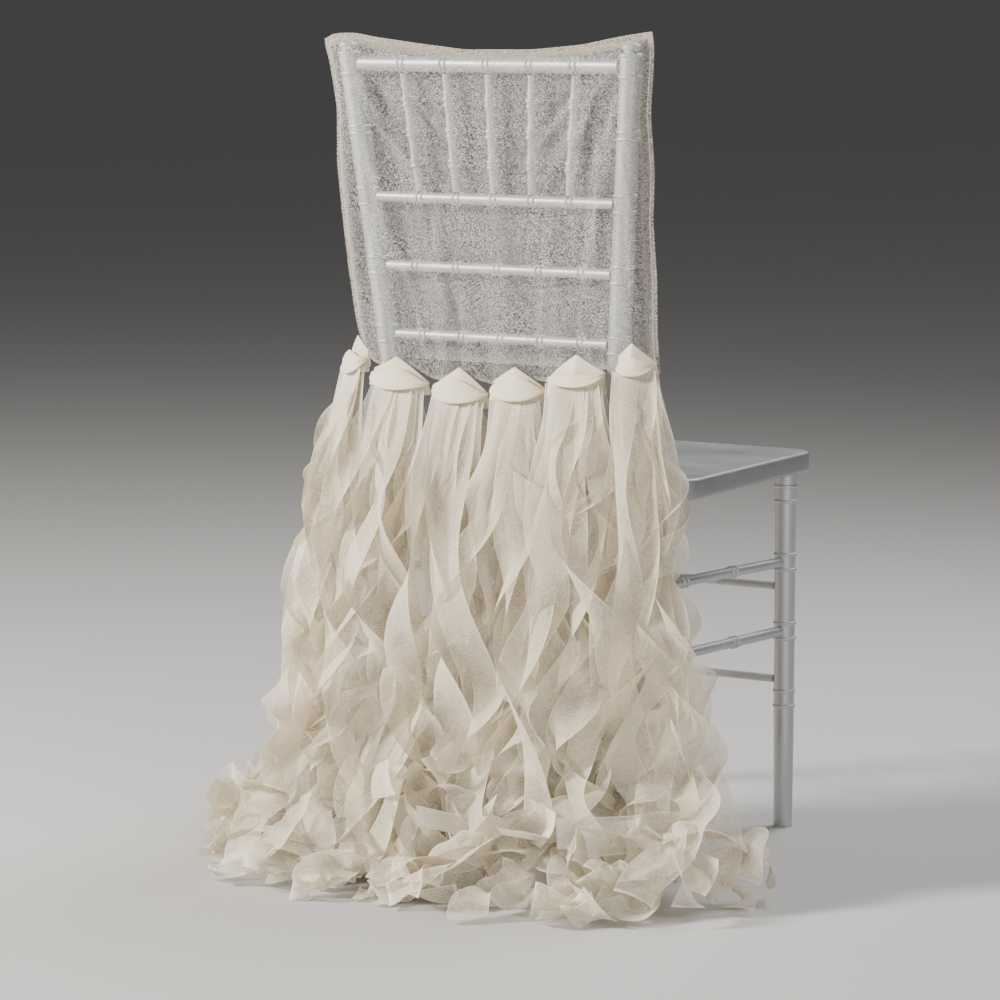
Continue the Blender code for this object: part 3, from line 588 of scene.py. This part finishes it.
def sleeveSide(height, across):
    return np.where(across < 0, softCurve(sideSeams, 1, height), softCurve(sideSeams, 2, height))


def hemScallops(across):
    # the hem is drawn up at each head and falls between them
    return softCurve(rearHem, 1, across)


def hemStraight(across):
    return np.full_like(across, sleeve["frontHem"])


def fineCreases(seed, count):
    # short shallow pulls that run down and inwards from the two top corners, and up from the hem
    draw = np.random.default_rng(seed)
    creases = []
    for k in range(count):
        side = -1 if k % 2 else 1
        kind = k % 3
        if kind == 0:
            start = (side * draw.uniform(0.12, 0.185), draw.uniform(0.86, 0.905))
            end = (start[0] - side * draw.uniform(0.03, 0.09), start[1] - draw.uniform(0.06, 0.13))
        elif kind == 1:
            start = (side * draw.uniform(0.02, 0.19), draw.uniform(0.62, 0.66))
            end = (start[0] + draw.uniform(-0.02, 0.02), start[1] - draw.uniform(0.05, 0.09))
        else:
            start = (side * draw.uniform(0.03, 0.185), draw.uniform(0.66, 0.86))
            end = (start[0] + draw.uniform(-0.03, 0.03), start[1] - draw.uniform(0.07, 0.16))
        rise = draw.uniform(0.0012, 0.0030) * draw.choice([-1, 1])
        creases.append((start, end, rise, draw.uniform(0.003, 0.008)))
    return creases


def foldRise(across, height, folds):
    # each fold is a soft ridge along its line, a bell across it and fading at both ends
    total = np.zeros_like(across)
    for start, end, rise, width in folds:
        way = np.array(end) - start
        length = np.hypot(*way)
        share = ((across - start[0]) * way[0] + (height - start[1]) * way[1]) / length**2
        off = ((across - start[0]) * way[1] - (height - start[1]) * way[0]) / length
        ends = softStep(share / 0.25) * softStep((1.25 - share) / 0.25)
        total += rise * np.exp(-((off / width) ** 2)) * ends
    return total


def sleevePanel(name, node, facing, hem, folds, grid):
    # depth from the middle plane: quarter rounds at the side seams and the top, a slack middle, folds.
    # Width and height depend on each other, so both are worked out four times over.
    u, v = np.meshgrid(np.linspace(0, 1, grid[0]), np.linspace(0, 1, grid[1]))
    u = 0.5 - 0.5 * np.cos(np.pi * u)  # closer columns at the sides
    v = v ** sleeve["closer"]  # closer rows at the top
    height = sleeve["start"][0] - sleeve["start"][1] * v
    for _ in range(4):
        left, right = sleeveSide(height, -np.ones_like(u)), sleeveSide(height, np.ones_like(u))
        across = -left + (left + right) * u
        height = sleeveTop(across) + (hem(across) - sleeveTop(across)) * v
    fromSide, fromTop = sleeveSide(height, across) - np.abs(across), sleeveTop(across) - height
    half = postHalf(aboveBend(height))
    edge = sleeveSide(height, across) - sleeve["seam"]
    side = np.clip((edge - np.abs(across)) / (edge - half), 0, 1)
    roll = sleeve["roll"][0] + sleeve["roll"][1] * softStep((np.abs(across) - 0.11) / 0.06)
    over = np.clip((sleeveTop(across) - sleeve["seam"] - height) / roll, 0, 1)
    shape = np.sqrt(1 - (1 - side) ** 2) * np.sqrt(1 - (1 - over) ** 2)
    slack = sleeve["sag"] * softStep((half - np.abs(across)) / 0.06)
    depth = shape * (sleeve["depth"] - slack + foldRise(across, height, folds))
    depth = np.maximum(depth, sleeve["half"])
    points = np.stack([across, facing * depth + backPlane(height), height], axis=-1)
    # extra layers: hem, top band, the stitched line beside the side seams and the cloth outside it
    doubled = 1.2 * (height - hem(across) < sleeve["hemWidth"]) + 0.9 * (fromTop < sleeve["topBand"])
    doubled = doubled + 1.5 * np.exp(-(((fromSide - sleeve["seamLine"]) / sleeve["seamWidth"]) ** 2))
    doubled = doubled + 0.6 * (fromSide < sleeve["seamLine"])
    faces = gridFaces(grid[1], grid[0])
    if facing > 0:
        faces = faces[:, ::-1]
    flat = np.stack([across, height], axis=-1).reshape(-1, 2)
    piece = putMesh(name, points, faces, sheerOrganza, flat, dict(doubled=doubled))
    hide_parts(node)


sleevePanel("sleeve_back", "rear_panel", -1, hemScallops,
            mainFolds + fineCreases(sleeve["seed"], sleeve["rearCreases"]), sleeve["rearGrid"])
sleevePanel("sleeve_front", "front_panel", 1, hemStraight,
            fineCreases(sleeve["seed"] + 1, sleeve["frontCreases"]), sleeve["frontGrid"])
print("sleeve hung")


# Heads: each is folded from its ribbons, a low peak behind and a wide band that bulges in front

# x, y, z: the middle of its underside; peak: its place across; turn: in degrees; tilt: of the
# corners; fold, lip: height and place of the band's top edge; bow: of its lower edge; wings: length
# of the corners that hang below it
headKeys = "x y z width rise peak turn ribbons tilt fold lip bow wings".split()
heads = [dict(zip(headKeys, row)) for row in (
    (-0.1956, -0.0215, 0.5514, 0.048, 0.040, 0.10, -28, 15, 0.06, 0.62, 0.2, 0.04, 0.9),
    (-0.1270, -0.0346, 0.5366, 0.077, 0.034, -0.04, 0, 18, -0.14, 0.76, 0.10, 0.03, 0.8),
    (-0.0455, -0.0335, 0.5266, 0.072, 0.036, 0.00, 0, 17, -0.10, 0.76, -0.05, 0.06, 1.0),
    (0.0320, -0.0338, 0.5326, 0.072, 0.034, -0.05, 0, 17, 0.01, 0.82, 0.18, 0.05, 0.9),
    (0.1100, -0.0369, 0.5505, 0.074, 0.034, 0.02, 0, 18, 0.10, 0.44, -0.15, -0.03, 1.5),
    (0.1880, -0.0369, 0.5668, 0.046, 0.034, -0.10, 12, 16, 0.08, 0.60, 0.1, -0.02, 0.7),
)]
knot = dict(depth=0.021, columns=48, rows=20, cloth=0.0007, wing=0.016, pucker=0.0014,
            foldedWidth=1.20, cutLength=0.062)


def headPlace(head, local):
    # from a head's own axes (x along the hem, -y outwards) into the chair's frame
    turn = math.radians(head["turn"])
    lean = math.atan(chair["recline"] / (chair["postTop"] - chair["bend"]))
    x, y, z = local[..., 0], local[..., 1], local[..., 2]
    y, z = y * math.cos(lean) - z * math.sin(lean), y * math.sin(lean) + z * math.cos(lean)
    x, y = x * math.cos(turn) - y * math.sin(turn), x * math.sin(turn) + y * math.cos(turn)
    return np.stack([x + head["x"], y + head["y"], z + head["z"]], axis=-1)


def headSheets(head):
    # In shares u across (-1 to 1) and v down (0 to 1), all three pinched at the two side corners:
    # crown, a triangle up to the peak that leans on the sleeve; band, a lens that bulges in front, its
    # top edge rolled in, its lower edge bowed and turned under; frill, sheer corners below the band.
    half, rise, deep, tip = head["width"] / 2, head["rise"], knot["depth"], head["peak"]
    u, v = np.meshgrid(np.linspace(-1, 1, knot["columns"]), np.linspace(0, 1, knot["rows"]))
    lens = np.sqrt(np.clip(1 - u**2, 0, 1))
    corner = rise * (0.30 + head["tilt"] * u)

    shifted = np.clip(np.abs(u - 2 * tip) / (1 + 2 * abs(tip)), 0, 1)
    ridge = corner + (rise - corner) * (1 - shifted) ** 0.9
    hollow = knot["pucker"] * 1.6 * np.sin(5 * u + 90 * head["x"] + 3 * v) * (1 - shifted) * v
    crown = np.stack([half * 0.96 * u, deep * (0.46 - 0.62 * lens * (0.25 + 0.75 * v)) + hollow,
                      ridge + (rise * 0.12 - ridge) * v], -1)

    lip = np.abs(u - head["lip"]) / (1 + np.abs(head["lip"]) * np.sign(head["lip"] * (head["lip"] - u)))
    arch = corner + (head["fold"] * rise - corner) * (1 - np.clip(lip, 0, 1)) ** 0.85
    bow = corner - rise * 0.02 - (corner + head["bow"] * rise) * lens**1.1
    rolled, under = np.clip((0.12 - v) / 0.12, 0, 1), np.clip((v - 0.86) / 0.14, 0, 1)
    w = np.clip((v - 0.12) / 0.74, 0, 1)
    bulge = deep * (0.42 - (0.72 + 0.34 * w) * lens**0.7)
    creased = np.sin(9 * w + 4 * np.abs(u - 0.2) + 70 * head["x"]) * (1.15 - lens) * lens**0.5
    bulge = bulge + knot["pucker"] * creased
    band = np.stack([half * u * (0.97 + 0.03 * w), bulge + 0.0035 * rolled * lens + 0.0075 * under * lens,
                     arch + (bow - arch) * w - 0.0030 * rolled**2 * lens + 0.0020 * under * lens], -1)

    drop = np.abs(u) ** 1.5 * (1 - 0.25 * np.abs(u) ** 6) * head["wings"]
    frill = np.stack([half * 0.96 * u * (1 + 0.10 * v), deep * (0.40 - 0.70 * lens**0.8) - 0.002 * v,
                      corner - rise * 0.03 - v * (0.003 + knot["wing"] * drop)], -1)
    return [(crown, 0.0), (band, 0.4), (frill, -0.8)]  # with how much each is doubled


def buildHead(number, head):
    points, faces, flats, marks, start = [], [], [], [], 0
    for sheet, doubled in headSheets(head):
        lines, places = sheet.shape[:2]
        faces.append(gridFaces(lines, places) + start)
        start += lines * places
        points.append(headPlace(head, sheet).reshape(-1, 3))
        flats.append(sheet[..., [0, 2]].reshape(-1, 2))
        marks.append(np.full(lines * places, doubled))
    piece = putMesh(f"head_{number}", np.concatenate(points), np.concatenate(faces), knottedOrganza,
                    np.concatenate(flats), dict(doubled=np.concatenate(marks)))
    cloth = piece.modifiers.new("cloth", "SOLIDIFY")
    cloth.thickness = knot["cloth"]
    cloth.offset = 0.0
    return piece


# Ribbons: each falls from its head in a winding line, spreads into the skirt and lies on the floor.
# Its width turns with the winding or swings to and fro about it.

ribbon = dict(
    width=0.040, rootWidth=0.032, stations=150, across=9, edge=0.03, edgeLayers=1.6, flatStep=0.137,
    floor=0.0007, floorStep=0.0006, floorSoft=0.003, backLimit=-0.0165, crumple=0.003, crease=0.10,
    rounding=24, widthRounding=8, swinging=0.35, lands=0.75, seed=33,
)
skirt = dict(
    left=-0.285, right=0.318, middle=0.018, half=0.350, start=-0.035, leftReach=0.245, rightReach=0.175,
    nearY=-0.052, quarter=32.5, soft=0.018, bellSoft=0.05, sides=(-0.310, 0.338), outmost=-0.290,
    sideSoft=0.025,
)
skirtSides = np.array([  # height, and the reach to the left and right, seen from the rear right quarter
    (0.000, -0.320, 0.292), (0.074, -0.306, 0.278), (0.126, -0.292, 0.254), (0.198, -0.268, 0.212),
    (0.259, -0.236, 0.186), (0.306, -0.218, 0.177), (0.387, -0.217, 0.173), (0.447, -0.221, 0.170),
    (0.490, -0.206, 0.172), (0.526, -0.184, 0.162), (0.556, -0.175, 0.156),
])
skirtBell = np.array([  # height, and the share of the floor's half ellipse that the ribbons fill there
    (0.000, 1.38), (0.015, 1.34), (0.040, 1.16), (0.080, 0.97), (0.130, 0.86), (0.200, 0.79),
    (0.300, 0.75), (0.560, 0.74),
])


def skirtReach(share):
    # how far the half ellipse stands out: its reach falls from the left (-1) to the right (1)
    return skirt["leftReach"] + (skirt["rightReach"] - skirt["leftReach"]) * (share + 1) / 2


def skirtEdge(across):
    # where the outermost ribbons land, on the half ellipse, and its outward heading
    share = np.clip((across - skirt["middle"]) / skirt["half"], -0.96, 0.96)
    reach, rise = skirtReach(share), np.sqrt(1 - share**2)
    return skirt["start"] - reach * rise, np.arctan2(share / skirt["half"], rise / reach)


def ribbonPlans(head, first, total, draw):
    # one row of values for each ribbon of a head: its root, where it lands, how it winds and lies.
    # level is 0 for the outermost ribbons and 1 for those behind; the draws keep this order.
    n = head["ribbons"]

    def between(low, high):
        return draw.uniform(low, high, n)

    def eitherWay():
        return draw.choice([-1, 1], n)

    lane = (np.arange(n) + 0.5) / n
    layer = (np.arange(n) * 7 % n) / (n - 1)  # 0 in front, 1 behind
    rootX = head["width"] * 0.24 * (2 * lane - 1) + between(-0.003, 0.003)
    rootY = knot["depth"] * (-0.20 + 0.50 * layer)
    root = headPlace(head, np.stack([rootX, rootY, np.full(n, 0.004)], axis=-1))
    share = (first + lane * n) / total
    floorX = skirt["left"] + (skirt["right"] - skirt["left"]) * share + between(-0.024, 0.024)
    edge, heading = skirtEdge(floorX)
    level = np.clip(layer + between(-0.12, 0.12), 0, 1) ** 0.85
    lands = level < ribbon["lands"]
    return dict(
        root=root, turn=np.full(n, math.radians(head["turn"])),
        heading=heading * (1 - 0.4 * level) + between(-0.6, 0.6),
        endX=floorX,
        endY=edge + (skirt["nearY"] - edge) * level + between(-0.012, 0.012),
        endZ=np.where(lands, 0.012 + 0.17 * level * between(0.3, 1.2), between(0.015, 0.080)),
        lands=lands * 1.0,
        landing=np.where(lands, between(0.58, 0.74), 0.97),
        creep=heading + between(0.0, 1.7) * eitherWay(),
        lie=between(0.05, 0.15) * (0.8 + 0.9 * level),
        meander=between(0.012, 0.032), bends=between(0.8, 1.8),
        hump=between(0.012, 0.060) * (0.5 + 0.9 * level), humps=between(0.6, 1.3), humpStart=between(0, 3.14),
        wander=between(0.005, 0.019), wanderTurns=between(0.8, 1.8), wanderStart=between(0, 6.28),
        coil=between(0.016, 0.034), coilTurns=between(2.2, 4.2) * eitherWay(),
        cone=between(0.3, 1.5) * eitherWay(),
        lean=between(0.1, 0.8), leanStart=between(0, 6.28),
        swings=(between(0, 1) < ribbon["swinging"]) * 1.0,
        swing=between(0.5, 1.35), swingStart=between(0, 6.28),
        roll=between(-0.4, 0.4), rollSwing=between(0.4, 1.1), rollTurns=between(0.5, 1.1),
        coilStart=between(-0.5, 0.5) + np.pi * draw.integers(0, 2, n),
        back=between(0.0, 1.0), backStart=between(0, 6.28),
        tip=between(-0.6, 0.6), tipStart=between(0, 6.28),
        width=ribbon["width"] * between(0.84, 1.14), hinge=between(0.3, 0.7),
        curl=between(0.3, 1.1) * eitherWay(), pleat=between(0.3, 1.1) * eitherWay(),
        layer=draw.integers(0, 12, n),
    )


def softLimit(values, low, high, soft):
    # leaves values alone between the limits and bends them towards limit + soft beyond
    values = np.where(values < low, low - soft * np.tanh((low - values) / soft), values)
    return np.where(values > high, high + soft * np.tanh((values - high) / soft), values)


def keepInSkirt(x, y, z):
    # slides a point along the quarter view's own width until it lies softly between the skirt's sides
    alongX, alongY = math.cos(math.radians(skirt["quarter"])), math.sin(math.radians(skirt["quarter"]))
    reach = x * alongX + y * alongY
    low, high = (np.interp(z, skirtSides[:, 0], skirtSides[:, k]) for k in (1, 2))
    slide = softLimit(reach, low, high, skirt["soft"]) - reach
    return x + slide * alongX, y + slide * alongY


def keepInBell(x, y, z):
    # draws a point in towards the skirt's middle until it lies softly inside the ribbons' bell
    share = (x - skirt["middle"]) / skirt["half"]
    reach = skirtReach(np.clip(share, -1, 1))
    far = np.hypot(share, (y - skirt["start"]) / reach) + 1e-6
    most = np.interp(z, skirtBell[:, 0], skirtBell[:, 1])
    factor = softLimit(far, -1.0, most, skirt["bellSoft"]) / far
    return skirt["middle"] + (x - skirt["middle"]) * factor, skirt["start"] + (y - skirt["start"]) * factor


def smoothAlong(values, rounds):
    # each round moves a station to half its own place and a quarter of each neighbour's
    for _ in range(rounds):
        values[:, 1:-1] = (values[:, :-2] + 2 * values[:, 1:-1] + values[:, 2:]) / 4


def ribbonColumns(plan):
    return {key: np.asarray(value)[:, None] for key, value in plan.items() if key != "root"}


def ribbonPaths(plan):
    # Line (n, stations, 3): falls from the root and spreads, winding about its fall in a leaning
    # ring; past its landing it creeps over the floor in bends and humps.
    # Way: the direction of its width, which turns with the winding or swings, and rolls as it lies.
    t = np.linspace(0, 1, ribbon["stations"])[None, :]
    col = ribbonColumns(plan)
    root = plan["root"][:, None, :]
    fall = np.clip(t / col["landing"], 0, 1)
    past = np.clip((t - col["landing"]) / (1.001 - col["landing"]), 0, 1)
    early = 1 - np.exp(-((fall / 0.15) ** 1.5))
    aside, outward = 0.38 * early + 0.62 * fall**2.3, 0.30 * early + 0.70 * fall**2.2
    down = np.where(col["lands"] > 0, fall * (1.15 - 0.15 * fall**4), fall)
    x = root[..., 0] + (col["endX"] - root[..., 0]) * aside
    y = root[..., 1] + (col["endY"] - root[..., 1]) * outward
    z = root[..., 2] + (col["endZ"] - root[..., 2]) * down

    along = col["lie"] * np.clip(past * 0.8 + 0.2 * past**2, 0, 1)
    across = col["meander"] * np.sin(np.pi * col["bends"] * past) * softStep(past / 0.3)
    creepX, creepY = np.sin(col["creep"]), -np.cos(col["creep"])
    x, y = x + creepX * along - creepY * across, y + creepY * along + creepX * across
    hump = np.sin(np.pi * col["humps"] * past + col["humpStart"]) ** 2 * softStep(past / 0.25)
    z = z + col["hump"] * hump - 0.9 * col["endZ"] * past**1.2 * col["lands"]

    rising = softStep(t / 0.2)
    angle = col["wanderStart"] + 2 * np.pi * col["wanderTurns"] * t
    x = x + col["wander"] * rising * np.sin(angle)
    y = y + 0.6 * col["wander"] * rising * np.cos(1.3 * angle)

    uneven = 0.10 * col["back"] * np.sin(6.3 * t + col["backStart"])
    wind = col["coilStart"] + 2 * np.pi * col["coilTurns"] * (t**1.25 + uneven)
    lies = softStep((t - col["landing"] + 0.06) / 0.14) * col["lands"]
    radius = col["coil"] * (0.10 * softStep(t / 0.08) + 0.90 * softStep((t - 0.02) / 0.34))
    radius = radius * (1 - 0.55 * lies)
    outX, outY = np.sin(col["heading"]), -np.cos(col["heading"])
    c, s = radius * np.cos(wind), radius * np.sin(wind)
    x, y = x - outY * c + outX * s, y + outX * c + outY * s
    leaning = col["lean"] * softStep((t - 0.25) / 0.35) * np.sin(wind + col["leanStart"])
    z = z + radius * leaning

    limit = ribbon["backLimit"]  # nothing passes into the chair's back
    y = np.where(y > limit, limit - 0.15 * (y - limit), y)
    x = softLimit(x, *skirt["sides"], skirt["sideSoft"])
    y = softLimit(y, skirt["outmost"], 1.0, skirt["sideSoft"])
    x, y = keepInSkirt(*keepInBell(x, y, z), z)
    line = np.stack([x, y, z], axis=-1)
    smoothAlong(line, ribbon["rounding"])

    swinging = col["swing"] * np.sin(wind + col["swingStart"])
    turn = np.where(col["swings"] > 0, swinging, wind)
    turn = turn + col["tip"] * np.sin(2 * np.pi * 1.7 * t + col["tipStart"])
    cosine, sine = np.cos(turn), np.sin(turn)
    ways = np.stack([-outY * cosine + outX * sine, outX * cosine + outY * sine,
                     leaning + col["cone"] * softStep((t - 0.06) / 0.2)], axis=-1)
    roll = col["roll"] + col["rollSwing"] * np.sin(2 * np.pi * col["rollTurns"] * past + col["tipStart"])
    lying = np.stack([-creepY * np.cos(roll), creepX * np.cos(roll), np.sin(roll)], axis=-1)
    close = np.sum(ways * lying * lies[..., None], axis=(1, 2))[:, None, None]
    ways = ways * (1 - lies)[..., None] + lying * np.where(close < 0, -1.0, 1.0) * lies[..., None]
    start = np.stack(np.broadcast_arrays(np.cos(col["turn"]), np.sin(col["turn"]), 0.0 * t), axis=-1)
    close = np.sum(ways[:, 14:15] * start[:, :1], axis=-1, keepdims=True)
    start = start * np.where(close < 0, -1.0, 1.0)
    share = softStep((t - 0.02) / 0.13)[..., None]
    return line, ways * share + start * (1 - share)


def ribbonSheets(plan):
    # each ribbon: points across its width along the way, square to the line; its section is bowed to
    # one side by its curl, pleated near the head and crumpled where it lies; the floor holds it up
    line, way = ribbonPaths(plan)
    col = ribbonColumns(plan)
    n, stations = line.shape[:2]
    t = np.linspace(0, 1, stations)[None, :]
    tangent = np.gradient(line, axis=1)
    tangent /= np.linalg.norm(tangent, axis=-1, keepdims=True)
    way = way - tangent * np.sum(way * tangent, axis=-1, keepdims=True)
    way /= np.linalg.norm(way, axis=-1, keepdims=True) + 1e-9
    smoothAlong(way, ribbon["widthRounding"])
    way /= np.linalg.norm(way, axis=-1, keepdims=True) + 1e-9
    facing = np.cross(tangent, way)

    e = ribbon["edge"]
    u = np.concatenate([[0, e], np.linspace(e * 2.5, 1 - e * 2.5, ribbon["across"] - 4), [1 - e, 1]])
    width = ribbon["rootWidth"] + (col["width"] - ribbon["rootWidth"]) * softStep(t / 0.22)
    hinge = 0.5 + (col["hinge"] - 0.5) * softStep(t / 0.3)
    offset = (u[None, None, :] - hinge[..., None]) * width[..., None]
    curl = col["curl"] * np.sin(col["wanderStart"] + 8.0 * t) * softStep(t / 0.12)
    pleat = col["pleat"] * (0.25 + 0.75 * softStep(t / 0.06)) * (1 - softStep((t - 0.05) / 0.22))
    bend = ((u - 0.5) ** 2 - 1 / 12)[None, None, :] * ((curl + pleat) * width)[..., None]
    steps = np.linalg.norm(np.diff(line, axis=1), axis=-1)
    length = np.concatenate([np.zeros((n, 1)), np.cumsum(steps, axis=1)], axis=1)
    crease = np.pi * length / ribbon["crease"] * (1 + 0.3 * np.sin(col["backStart"] + 9 * t)) + col["tipStart"]
    crease = crease[..., None] + 1.5 * col["curl"][..., None] * (u - 0.5)
    bend = bend + ribbon["crumple"] * (np.abs(np.sin(crease)) - 0.64) * softStep((t - 0.60) / 0.25)[..., None]

    points = line[:, :, None] + way[:, :, None] * offset[..., None] + facing[:, :, None] * bend[..., None]
    low, soft = (ribbon["floor"] + ribbon["floorStep"] * plan["layer"])[:, None, None], ribbon["floorSoft"]
    points[..., 2] = low + soft * np.logaddexp(0, (points[..., 2] - low) / soft)
    flat = np.stack(np.broadcast_arrays(u[None, None] * width[..., None], length[..., None]), axis=-1)
    return points, flat, length[:, -1]


def buildRibbons():
    draw = np.random.default_rng(ribbon["seed"])
    total = sum(head["ribbons"] for head in heads)
    first = 0
    for number, head in enumerate(heads, 1):
        cap = buildHead(number, head)
        plan = ribbonPlans(head, first, total, draw)
        first += head["ribbons"]
        points, flat, lengths = ribbonSheets(plan)
        n, stations, places = points.shape[:3]
        faces = gridFaces(stations, places)
        faces = (faces[None] + (np.arange(n) * stations * places)[:, None, None]).reshape(-1, 4)
        edges = np.zeros(points.shape[:3])
        edges[..., [0, -1]] = ribbon["edgeLayers"]
        edges[:, -1, :] = ribbon["edgeLayers"]
        flat = flat + np.arange(n)[:, None, None, None] * ribbon["flatStep"]
        piece = putMesh(f"ribbons_{number}_curled", points, faces, ivoryOrganza, flat.reshape(-1, 2),
                        dict(doubled=edges))
        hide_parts(f"ribbons_{number}")


buildRibbons()
print("heads folded and ribbons hung")


# Floor, light and camera

studio = dict(floor=(0.66, 0.65, 0.64, 1), floorRoughness=0.75, mottle=0.97, reach=600.0,
              world=(0.36, 0.36, 0.365, 1), worldStrength=0.24, aim=(0, -0.1, 0.5))
lamps = [
    dict(name="key", place=(-2.5, -2.7, 2.2), size=0.9, power=320, colour=(1.0, 0.965, 0.91)),
    dict(name="fill", place=(2.8, -2.4, 1.3), size=2.0, power=40, colour=(0.98, 0.985, 1.0)),
    dict(name="top", place=(0.5, 1.6, 2.6), size=1.6, power=60, colour=(1.0, 0.99, 0.97)),
]
view = dict(place=(2.40926, -3.79827, 0.98785), yaw=32.5, pitch=7.3, lens=144.1, sensor=36.0)


def buildStudio():
    floor = bpy.data.meshes.new("floor")
    r = studio["reach"]
    floor.from_pydata([(-r, -r, 0), (r, -r, 0), (r, r, 0), (-r, r, 0)], [], [(0, 1, 2, 3)])
    piece = bpy.data.objects.new("floor", floor)
    bpy.context.scene.collection.objects.link(piece)
    material, tree, shader = startMaterial("paleFloor")
    place = tree.nodes.new("ShaderNodeTexCoord")
    mottle = addNoise(tree, place.outputs["Object"], 3.0, 3.0)
    dull = tuple(studio["mottle"] * value for value in studio["floor"][:3]) + (1,)
    tree.links.new(mixColours(tree, mottle, dull, studio["floor"]), shader.inputs["Base Color"])
    setInputs(shader, Roughness=studio["floorRoughness"])
    floor.materials.append(material)
    world = bpy.data.worlds.new("studio")
    world.use_nodes = True
    setInputs(world.node_tree.nodes["Background"], Color=studio["world"], Strength=studio["worldStrength"])
    bpy.context.scene.world = world
    for lamp in lamps:
        data = bpy.data.lights.new(lamp["name"], "AREA")
        data.shape, data.size, data.energy, data.color = "DISK", lamp["size"], lamp["power"], lamp["colour"]
        item = bpy.data.objects.new(lamp["name"], data)
        item.location = lamp["place"]
        way = Vector(studio["aim"]) - Vector(lamp["place"])
        item.rotation_euler = way.to_track_quat("-Z", "Y").to_euler()
        bpy.context.scene.collection.objects.link(item)


def buildCamera():
    data = bpy.data.cameras.new("camera")
    data.lens, data.sensor_width = view["lens"], view["sensor"]
    camera = bpy.data.objects.new("camera", data)
    camera.location = np.array(view["place"]) + shift
    camera.rotation_euler = (math.radians(90 - view["pitch"]), 0, math.radians(view["yaw"]))
    bpy.context.scene.collection.objects.link(camera)
    bpy.context.scene.camera = camera


buildStudio()
buildCamera()
print("studio and camera set")
